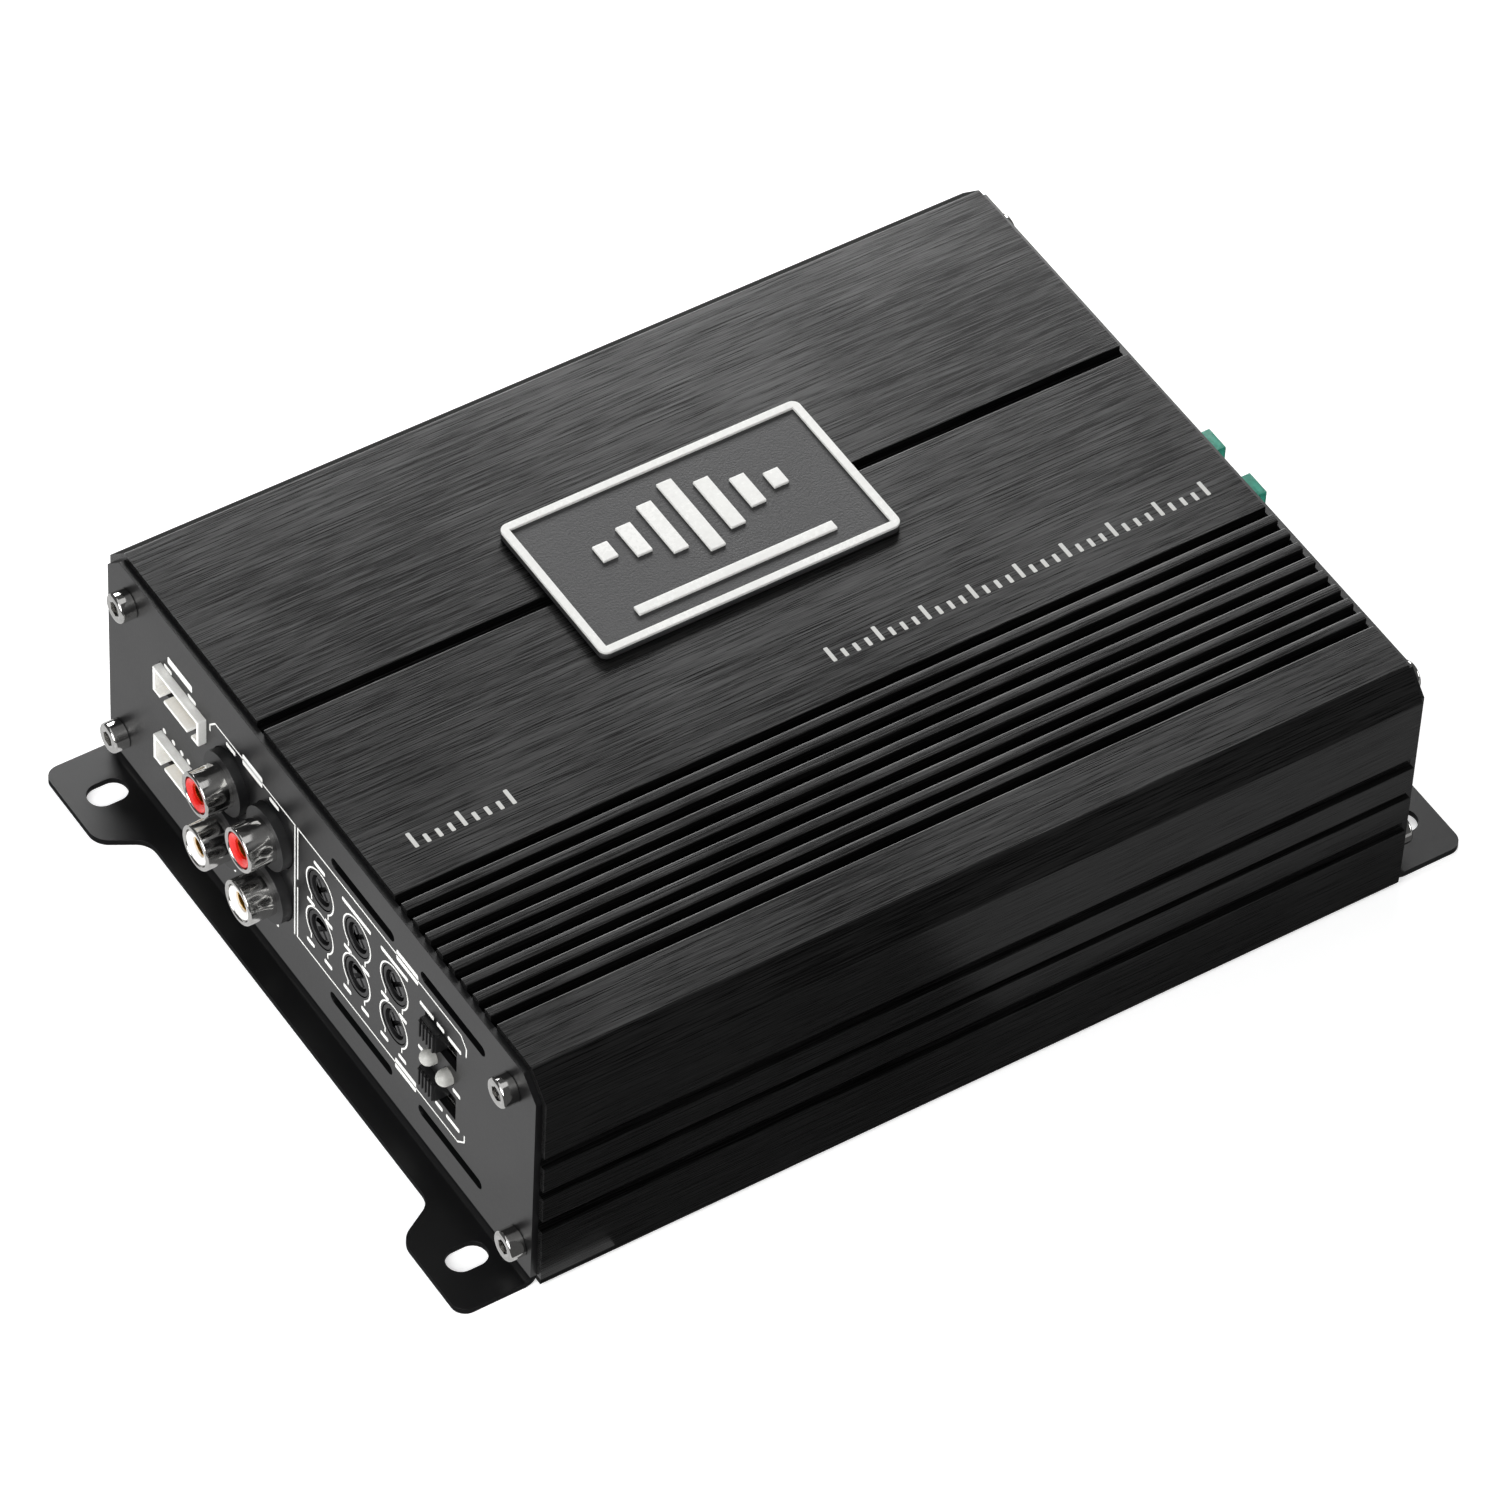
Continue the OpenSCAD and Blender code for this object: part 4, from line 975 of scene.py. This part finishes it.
@dataclass
class Screws:
    """Cap screws in the end panels and countersunk screws in the bottom plate. Sizes in mm."""

    head_d: float = 5.5
    head_h: float = 3.0
    socket_d: float = 2.9
    socket_depth: float = 1.6
    shank_d: float = 3.0
    shank_l: float = 10.0
    top_y: float = 8.4
    top_drop: float = 7.8
    low_y: float = 5.2
    low_z: float = 6.6

    def cap_screw(self) -> Object:
        """A turned head with a rounded crown, a hex socket and a shank; its seat is at z 0."""
        r, h, s = self.head_d / 2 * MM, self.head_h * MM, self.socket_d / 2 * MM
        deep, shank = self.socket_depth * MM, self.shank_d / 2 * MM
        rings: list[Ring] = [
            (shank, -self.shank_l * MM, 0), (shank, 0.0, 0), (r - 0.12 * MM, 0.0, 0),
            (r, 0.12 * MM, 0), (r, h - 0.55 * MM, 0), (r - 0.08 * MM, h - 0.28 * MM, 0),
            (r - 0.28 * MM, h - 0.08 * MM, 0), (r - 0.55 * MM, h, 0), (s + 0.22 * MM, h, 0),
            (s, h - 0.16 * MM, 6), (s, h - deep, 6), (0.2 * MM, h - deep - 0.3 * MM, 0),
        ]  # fmt: skip
        return Shape().rings(rings, Matrix.Identity(4), 36).piece("cap_screw", angle=35)

    def build(self, maker: Maker) -> None:
        """Places the screws of both end panels and of the bottom plate."""
        shell_low, shell_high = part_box("heatsink_shell")
        half = (shell_high.y - shell_low.y) / 2
        spots = [(half - self.top_y * MM, shell_high.z - self.top_drop * MM)]
        spots.append((half - self.low_y * MM, shell_low.z + self.low_z * MM))
        for end, turn in ((End.INPUT, OUT_OF_INPUT), (End.OUTPUT, OUT_OF_OUTPUT)):
            name = end.name.lower()
            low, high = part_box(f"{name}_panel_screws")
            seat = low.x + self.head_h * MM if end is End.INPUT else high.x - self.head_h * MM
            places = [(seat, side * y, z) for side in (-1, 1) for y, z in spots]
            screws = maker.on_each(
                self.cap_screw(), places, f"{name}_cap_screws", NICKEL, turn=turn, spin=math.pi
            )
            dressed(screws, NICKEL, f"{name}_panel_screws")
        followed("bottom_plate_screws", BLACK_SCREW, 0.08, "countersunk_screws")


@dataclass
class Badge:
    """The raised plate on the lid: textured face, bright edge and a row of level bars."""

    edge_ease: float = 0.3
    rim_ease: float = 0.2
    bar_ease: float = 0.16

    def build(self) -> None:
        """Dresses the plate, its rim and its plain emblem."""
        followed("badge_plate", BADGE_FACE, self.edge_ease, "badge_textured_plate")
        followed("badge_rim_frame", BADGE_WHITE, self.rim_ease, "badge_bright_edge")
        followed("badge_emblem", BADGE_WHITE, self.bar_ease, "badge_level_bars")


@dataclass
class PhonoSockets:
    """Four phono sockets: a moulded housing, plated barrels and coloured cores. Sizes in mm."""

    barrel_d: float = 8.3
    root_d: float = 7.3
    lip_d: float = 6.6
    reach: float = 7.0
    collar_reach: float = 1.8
    core_d: float = 6.5
    core_back: float = 0.25
    hole_d: float = 3.8

    def barrel(self, root: float) -> Object:
        """A drawn barrel with a rolled lip, from root behind the panel's face, which is at z 0."""
        r, inner = self.barrel_d / 2 * MM, self.lip_d / 2 * MM
        neck, tip, collar = self.root_d / 2 * MM, self.reach * MM, self.collar_reach * MM
        roll = (r - inner) / 2
        lip = [
            (inner + roll + roll * math.cos(turn), tip - roll + roll * math.sin(turn), 0)
            for turn in map(math.radians, range(0, 181, 20))
        ]
        rings: list[Ring] = [
            (inner, -root, 0), (neck, -root, 0), (neck, collar - 0.05 * MM, 0),
            (r, collar - 0.05 * MM, 0), *lip,
        ]  # fmt: skip
        return Shape().tube(rings).piece("phono_barrel")

    def core(self, root: float) -> Object:
        """A moulded core with a dished face round its pin hole."""
        r, hole = self.core_d / 2 * MM, self.hole_d / 2 * MM
        front = (self.reach - self.core_back) * MM
        rings: list[Ring] = [
            (hole, -root, 0), (r, -root, 0), (r, front - 0.25 * MM, 0), (r - 0.25 * MM, front, 0),
            (r - 0.55 * MM, front - 0.05 * MM, 0), (hole + 0.3 * MM, front - 0.35 * MM, 0),
            (hole, front - 0.6 * MM, 0),
        ]  # fmt: skip
        return Shape().tube(rings).piece("phono_core")

    def build(self, maker: Maker) -> None:
        """Places the four barrels and their cores over the housing."""
        low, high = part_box("socket_barrels")
        face = low.x + self.reach * MM
        size = self.barrel_d * MM
        spots = grid_of("socket_barrels", 2, 2, size, size)
        places = [(face, y, z) for y, z in spots]
        root = high.x - face
        barrels = maker.on_each(
            self.barrel(root), places, "phono_barrels", NICKEL, turn=OUT_OF_INPUT, spin=math.pi
        )
        dressed(barrels, NICKEL, "socket_barrels")
        middle = sum(z for _, z in spots) / len(spots)
        for row, finish in (("upper", RED_CORE), ("lower", WHITE_CORE)):
            above = row == "upper"
            chosen = [p for p in places if (p[2] > middle) == above]
            cores = maker.on_each(
                self.core(root), chosen, f"{row}_phono_cores", finish, turn=OUT_OF_INPUT
            )
            dressed(cores, finish, f"{row}_socket_inserts")
        followed("socket_housing", BLACK_NYLON, 0.2, "phono_housing")
        painted("socket_contacts", GOLD)


@dataclass
class Headers:
    """The two shrouded signal headers and their pins."""

    shell_ease: float = 0.22
    pin_ease: float = 0.08

    def build(self) -> None:
        """Dresses both headers."""
        for row in ("upper", "lower"):
            followed(f"{row}_header", WHITE_NYLON, self.shell_ease, f"{row}_header_shell")
            followed(f"{row}_header_pins", GOLD, self.pin_ease, f"{row}_header_posts")


@dataclass
class Controls:
    """Trimmers, slide switches and lamps on the input panel. Sizes in mm."""

    rotor_d: float = 5.0
    slot_w: float = 0.9
    slot_depth: float = 1.2
    lever_w: float = 5.0
    lever_h: float = 4.2
    rib_n: int = 5
    rib_depth: float = 0.35
    rotor_t: float = 2.4
    spindle_r: float = 1.0
    arm_l: float = 2.0
    slider_l: float = 2.7
    rib_share: float = 0.27
    lamp_d: float = 3.0
    lamp_l: float = 6.0
    lead_w: float = 0.5
    lead_pitch: float = 1.6

    def rotor(self, node: str) -> Object:
        """A trimmer rotor: a domed disc with a cross slot, on its spindle."""
        low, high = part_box(node)
        middle = ((low + high) / 2).yz
        r, tip = self.rotor_d / 2 * MM, low.x
        back, spindle = tip + self.rotor_t * MM, self.spindle_r * MM
        place = moved((tip, middle[0], middle[1]), facing(End.INPUT))
        rings: list[Ring] = [
            (spindle, tip - high.x, 0), (spindle, tip - back, 0), (r - 0.1 * MM, tip - back, 0),
            (r, tip - back + 0.1 * MM, 0), (r, -0.35 * MM, 0), (r - 0.12 * MM, -0.12 * MM, 0),
            (r - 0.4 * MM, 0.0, 0),
        ]  # fmt: skip
        disc = Shape().rings(rings, place, 48).loose(node)
        w, arm, deep = self.slot_w / 2 * MM, self.arm_l * MM, self.slot_depth * MM
        outline = [
            (w, w), (w, arm), (-w, arm), (-w, w), (-arm, w), (-arm, -w),
            (-w, -w), (-w, -arm), (w, -arm), (w, -w), (arm, -w), (arm, w),
        ]  # fmt: skip
        turned = place @ moved((0, 0, -deep), Matrix.Rotation(math.radians(45), 3, "Z"))
        cross = Shape().polygon_prism(outline, deep + 1 * MM, turned)
        draft = carved(disc, cross.loose("cross"), node + "_cut")
        return with_edges(draft, 0.05 * MM, node + "_cap", angle=40)

    def lever(self, node: str) -> Object:
        """A ribbed switch lever on its slider."""
        low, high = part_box(node)
        y, z = (low.y + high.y) / 2, (low.z + high.z) / 2
        w, h = self.lever_w / 2 * MM, self.lever_h / 2 * MM
        deep = self.rib_depth * MM
        shape = Shape()
        shape.box((low.x + deep, y - w, z - h), (high.x - 0.6 * MM, y + w, z + h), 0.15 * MM)
        slider_w, slider_h = (high.y - low.y) / 2, (high.z - low.z) / 2
        shape.box(
            (high.x - self.slider_l * MM, y - slider_w, z - slider_h),
            (high.x, y + slider_w, z + slider_h),
            0.1 * MM,
        )
        step = 2 * w / self.rib_n
        for i in range(self.rib_n):
            middle = y - w + (i + 0.5) * step
            half_rib = step * self.rib_share
            shape.box(
                (low.x, middle - half_rib, z - h + 0.15 * MM),
                (low.x + 2 * deep, middle + half_rib, z + h - 0.15 * MM),
                0.09 * MM,
            )
        return shape.piece(node + "_ribbed")

    def lamp(self, node: str) -> Object:
        """A moulded lamp with a domed end, on two leads."""
        low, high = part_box(node)
        y, z = (low.y + high.y) / 2, (low.z + high.z) / 2
        r = self.lamp_d / 2 * MM
        dome = [
            (r * math.cos(math.radians(a)), -r + r * math.sin(math.radians(a)), 0)
            for a in (0, 12, 24, 36, 48, 60, 72, 82)
        ]
        body = self.lamp_l * MM
        rings: list[Ring] = [
            (r - 0.1 * MM, -body, 0), (r, -body + 0.1 * MM, 0), *dome, (0.05 * MM, 0.0, 0),
        ]  # fmt: skip
        shape = Shape().rings(rings, moved((low.x, y, z), facing(End.INPUT)), 32)
        for side in (-1, 1):
            lead = side * self.lead_pitch / 2 * MM
            half = self.lead_w / 2 * MM
            shape.box(
                (low.x + body - 0.2 * MM, y + lead - half, z - half),
                (high.x, y + lead + half, z + half),
                0.05 * MM,
            )
        return shape.piece(node + "_lens")

    def build(self) -> None:
        """Places every control."""
        followed("trimmer_bodies", BLACK_NYLON, 0.12, "trimmer_housings")
        for column in (1, 2, 3):
            for row in ("upper", "lower"):
                node = f"rotor_{column}_{row}"
                dressed(self.rotor(node), GREY_ACETAL, node)
        followed("switch_bodies", NICKEL, 0.1, "switch_frames")
        for row in ("upper", "lower"):
            node = f"{row}_switch_lever"
            dressed(self.lever(node), BLACK_NYLON, node)
        for node in ("power_lamp", "protection_lamp"):
            dressed(self.lamp(node), FROSTED, node)


@dataclass
class OutputEnd:
    """Screw terminals and fuses. Sizes in mm."""

    power_n: int = 3
    power_pitch: float = 12.4
    power_screw_d: float = 5.0
    speaker_n: int = 8
    speaker_pitch: float = 5.2
    speaker_screw_d: float = 2.6

    def set_screw(self, d: float, length: float) -> Object:
        """A set screw with a rounded end, thread ridges and a driver slot; its foot is at z 0."""
        r = d / 2 * MM
        rings: list[Ring] = [(r * 0.55, 0.0, 0), (r * 0.8, 0.2 * MM, 0)]
        z = 0.35 * MM
        while z < length - 0.5 * MM:
            rings += [(r * 0.88, z, 0), (r, z + 0.2 * MM, 0)]
            z += 0.45 * MM
        rings += [(r, length - 0.15 * MM, 0), (r - 0.15 * MM, length, 0)]
        body = Shape().rings(rings, Matrix.Identity(4), 28).loose("set_screw")
        half = 0.09 * d * MM
        slot = Shape().box((-half, -r * 1.2, length - 0.9 * MM), (half, r * 1.2, length + 1 * MM))
        draft = carved(body, slot.loose("slot"), "set_screw_cut")
        return with_edges(draft, 0.0, "set_screw", angle=40)

    def build(self, maker: Maker) -> None:
        """Dresses the blocks, clamps, set screws, fuse holder and fuses."""
        rows = (
            ("power", self.power_n, self.power_pitch, self.power_screw_d),
            ("speaker", self.speaker_n, self.speaker_pitch, self.speaker_screw_d),
        )
        for name, count, pitch, d in rows:
            followed(f"{name}_block", BLACK_NYLON, 0.22, f"{name}_terminal_block")
            followed(f"{name}_clamps", NICKEL, 0.1, f"{name}_cage_clamps")
            low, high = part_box(f"{name}_set_screws")
            x, y = (low.x + high.x) / 2, (low.y + high.y) / 2
            places = [(x, y + (i - (count - 1) / 2) * pitch * MM, low.z) for i in range(count)]
            screws = maker.on_each(
                self.set_screw(d, high.z - low.z), places, f"{name}_slotted_screws", NICKEL,
                spin=math.pi,
            )
            dressed(screws, NICKEL, f"{name}_set_screws")
        followed("fuse_holder", BLACK_NYLON, 0.2, "fuse_socket")
        painted("fuse_contacts", NICKEL)
        for side in ("left", "right"):
            followed(f"{side}_fuse_body", FUSE_GREEN, 0.3, f"{side}_fuse_grip")
            followed(f"{side}_fuse_blades", NICKEL, 0.08, f"{side}_fuse_tabs")


@dataclass
class Innards:
    """What the shell holds: each keeps its frame shape and gets its own finish."""

    def build(self) -> None:
        """Dresses the boards and what stands on them."""
        finishes = {
            BOARD: ("main_board", "control_board", "header_board"),
            FILM: ("insulating_sheet", "thermal_pads"),
            BLACK_NYLON: ("power_transistors", "driver_chips"),
            NICKEL: ("board_screws", "clamp_screws", "clamp_strips"),
            ANODISED: ("heat_spreader_bars",),
            FERRITE: ("transformer_core", "output_inductors"),
            COPPER: ("transformer_winding",),
            SLEEVE: ("reservoir_capacitors",),
        }
        for finish, nodes in finishes.items():
            for node in nodes:
                painted(node, finish)


@dataclass
class PanelPrint:
    """White lines and plain marks printed on the input panel. Places in mm from the front face
    and from the shell's lower edge."""

    line_w: float = 0.32
    ink_t: float = 0.03
    ring_r: float = 4.25
    trimmer_y: float = 55.6
    trimmer_z: float = 25.2
    pitch_y: float = 11.65
    pitch_z: float = 9.6

    def lines(self) -> list[list[Point2]]:
        """The frames round the sockets and round the controls."""
        top, foot = 38.4, 11.8
        return [
            [(102.4, 35.1), (102.4, 36.6), (100.7, top), (75.2, top), (75.2, 11.5)],
            [(74.3, foot + 12.2), (74.3, foot), (23.9, foot), (21.9, 13.6), (21.9, 15.2)],
            [(74.3, 26.0), (74.3, top), (23.6, top), (21.9, 36.6), (21.9, 34.7)],
        ]

    def rings(self) -> list[list[Point2]]:
        """A scale arc and its two leaders round each trimmer."""
        made = []
        for column in (-1, 0, 1):
            for row in (-1, 1):
                y = self.trimmer_y + column * self.pitch_y
                centre = (y, self.trimmer_z + row * self.pitch_z / 2)
                curve = arc(centre, self.ring_r, -52, 232, 36)
                drop = centre[1] - self.ring_r - 0.2
                made.append([(curve[0][0], drop), *curve, (curve[-1][0], drop)])
        return made

    def marks(self) -> list[tuple[float, float, float, float]]:
        """Plain bars that stand where captions go: least y, least z, greatest y, greatest z."""
        bars = [
            (85.6, 37.2, 91.9, 39.6), (36.7, 37.2, 43.4, 39.6), (36.8, 10.6, 43.3, 13.0),
            (108.2, 38.6, 116.1, 40.2),
        ]  # fmt: skip
        small = [(94.2, 36.6, 97.2), (80.3, 36.6, 83.3), (94.2, 8.0, 97.2), (80.3, 8.0, 83.3)]
        small += [(65.7, 34.9, 69.2), (51.3, 34.9, 60.3), (39.8, 34.9, 48.2)]
        small += [(31.8, 33.6, 36.1), (28.6, 33.6, 30.9), (23.4, 33.6, 27.5)]
        small += [(34.5, 22.6, 36.4), (23.4, 22.6, 25.7), (28.6, 14.2, 30.9), (23.4, 14.2, 27.5)]
        small += [(114.8, 36.6, 117.3), (107.0, 36.6, 109.6)]
        for column in (-1, 0, 1):
            for z in (24.2, 14.2):
                for side in (-2.8, 2.8):
                    middle = self.trimmer_y + column * self.pitch_y + side
                    small.append((middle - 1.2, z, middle + 1.2))
        return bars + [(y0, z, y1, z + 0.9) for y0, z, y1 in small]

    def build(self) -> None:
        """Prints the lines, the scale rings, the plain bars and the pin dots."""
        low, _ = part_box("heatsink_shell")
        panel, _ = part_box("trimmer_bodies")
        face = panel.x - 0.1 * MM
        origin = moved((face, low.y, low.z)) @ Matrix(
            ((0, 0, -1, 0), (1, 0, 0, 0), (0, 1, 0, 0), (0, 0, 0, 1))
        )
        place = origin @ Matrix.Diagonal((MM, MM, MM, 1))
        shape = Shape()
        for line in self.lines() + self.rings():
            shape.ribbon(line, self.line_w, self.ink_t, place)
        for y0, z0, y1, z1 in self.marks():
            shape.polygon_prism(
                eased([(y0, z0), (y1, z0), (y1, z1), (y0, z1)], 0.35, 3), self.ink_t, place
            )
        for y in (109.6, 111.8, 114.5, 117.5):
            shape.polygon_prism(arc((y, 20.6), 0.55, 0, 345, 23), self.ink_t, place)
        printed(shape, INK, "panel_print")


@dataclass
class LidPrint:
    """Two plain printed scales on the lid: rows of ticks, every fourth one longer. Places in mm
    from the input end and the front face."""

    foot_y: float = 53.0
    long_tick: float = 3.4
    short_tick: float = 1.9
    tick_w: float = 0.75
    ink_t: float = 0.03
    scales: tuple[tuple[float, float, int], ...] = ((8.0, 27.0, 8), (87.4, 161.9, 32))

    def build(self) -> None:
        """Prints each scale."""
        low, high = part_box("heatsink_shell")
        place = moved((low.x, low.y, high.z)) @ Matrix.Diagonal((MM, MM, MM, 1))
        shape = Shape()
        for start, end, count in self.scales:
            step = (end - start - self.tick_w) / count
            for i in range(count + 1):
                x0, y0 = start + i * step, self.foot_y
                x1, y1 = x0 + self.tick_w, y0 + (self.short_tick if i % 4 else self.long_tick)
                outline = eased([(x0, y0), (x1, y0), (x1, y1), (x0, y1)], 0.2, 3)
                shape.polygon_prism(outline, self.ink_t, place)
        printed(shape, TOP_INK, "lid_print")


# ---- light, floor and camera --------------------------------------------------


@dataclass(frozen=True)
class SoftBox:
    """A rectangular studio light. Places in metres; radiance is how bright its face is."""

    name: str
    place: Point3
    aim: Point3
    width: float
    height: float
    radiance: float

    def build(self) -> None:
        """Hangs the light and aims it."""
        lamp = bpy.data.lights.new(self.name, "AREA")
        lamp.shape, lamp.size, lamp.size_y = "RECTANGLE", self.width, self.height
        lamp.energy = self.radiance * math.pi * self.width * self.height
        holder = bpy.data.objects.new(self.name, lamp)
        holder.location = self.place
        holder.rotation_mode = "QUATERNION"
        way = Vector(self.aim) - Vector(self.place)
        holder.rotation_quaternion = way.to_track_quat("-Z", "Y")
        holder.visible_camera = False
        bpy.context.scene.collection.objects.link(holder)


def direction(azimuth: float, elevation: float) -> Vector:
    """The way from the object to a viewer at an azimuth and elevation, in degrees."""
    a, e = math.radians(azimuth), math.radians(elevation)
    return Vector((math.sin(a) * math.cos(e), -math.cos(a) * math.cos(e), math.sin(e)))


@dataclass
class Studio:
    """A white sweep of floor, soft boxes and the camera. Lengths in metres, angles in degrees."""

    azimuth: float = -34.85
    elevation: float = 47.96
    roll: float = 3.25
    distance: float = 1.5272
    target: Point3 = (-0.00586, -0.00633, 0.025)
    lens_mm: float = 222.3
    floor_glow: float = 0.5
    sky_glow: float = 0.09
    boxes: tuple[SoftBox, ...] = (
        SoftBox("back_box", (0.42, 0.80, 0.50), (0.0, 0.05, 0.05), 0.64, 0.44, 11.0),
        SoftBox("overhead_box", (-0.2, -0.1, 1.4), (0.0, 0.0, 0.0), 1.4, 1.4, 0.7),
        SoftBox("right_box", (1.1, -0.5, 0.25), (0.0, 0.0, 0.03), 0.6, 0.4, 4.5),
        SoftBox("left_box", (-0.85, -0.4, 0.5), (-0.08, 0.0, 0.02), 0.7, 0.7, 6.0),
        SoftBox("left_card", (-0.27, 0.18, 0.002), (-0.27, 0.18, 1.0), 0.4, 0.5, 0.6),
        SoftBox("right_card", (0.16, -0.19, 0.002), (0.16, -0.19, 1.0), 0.3, 0.22, 0.3),
    )

    def floor(self) -> None:
        """A wide white floor that is bright enough to read as a clean sweep."""
        made, tree = new_material("matt_white_sweep")
        paint = add_node(
            tree,
            "ShaderNodeBsdfPrincipled",
            {
                "Base Color": linear("#f4f4f4"),
                "Roughness": 0.9,
                "Specular IOR Level": 0.0,
                "Emission Color": linear("#ffffff"),
                "Emission Strength": self.floor_glow,
            },
        )
        add_node(tree, "ShaderNodeOutputMaterial", {"Surface": paint.outputs["BSDF"]})
        mesh = bpy.data.meshes.new("floor")
        reach, low = 4.0, -0.02 * MM
        corners = ((-1, -1), (1, -1), (1, 1), (-1, 1))
        mesh.from_pydata([(x * reach, y * reach, low) for x, y in corners], [], [(0, 1, 2, 3)])
        mesh.materials.append(made)
        sweep = loose(mesh, "floor")
        sweep.visible_glossy = False

    def camera(self) -> None:
        """The camera, turned a little about its own axis."""
        back = direction(self.azimuth, self.elevation)
        data = bpy.data.cameras.new("camera")
        data.lens, data.sensor_width = self.lens_mm, 36.0
        data.clip_start, data.clip_end = 0.01, 50.0
        holder = bpy.data.objects.new("camera", data)
        holder.location = Vector(self.target) + back * self.distance
        holder.rotation_mode = "QUATERNION"
        level = (-back).to_track_quat("-Z", "Y").to_matrix()
        turned = level @ Matrix.Rotation(math.radians(self.roll), 3, "Z")
        holder.rotation_quaternion = turned.to_quaternion()
        bpy.context.scene.collection.objects.link(holder)
        bpy.context.scene.camera = holder

    def sky(self) -> None:
        """Even white light from all round."""
        world = bpy.data.worlds.new("studio")
        world.use_nodes = True
        ground = world.node_tree.nodes["Background"]
        ground.inputs["Color"].default_value = linear("#ffffff")
        ground.inputs["Strength"].default_value = self.sky_glow
        bpy.context.scene.world = world
        bpy.context.scene.view_settings.view_transform = "Standard"

    def build(self) -> None:
        """Sets the whole studio."""
        self.camera()
        self.floor()
        self.sky()
        for box in self.boxes:
            box.build()


def main() -> None:
    """Builds every sub-assembly in order, then the studio."""
    logging.basicConfig(level=logging.INFO, format="%(name)s: %(message)s")
    Studio().build()
    maker = Maker(repeat_tree(), extrusion_tree())
    Heatsink().build(maker)
    SheetMetal().build()
    Screws().build(maker)
    Badge().build()
    PhonoSockets().build(maker)
    Headers().build()
    Controls().build()
    OutputEnd().build(maker)
    Innards().build()
    PanelPrint().build()
    LidPrint().build()


if __name__ == "__main__":
    main()
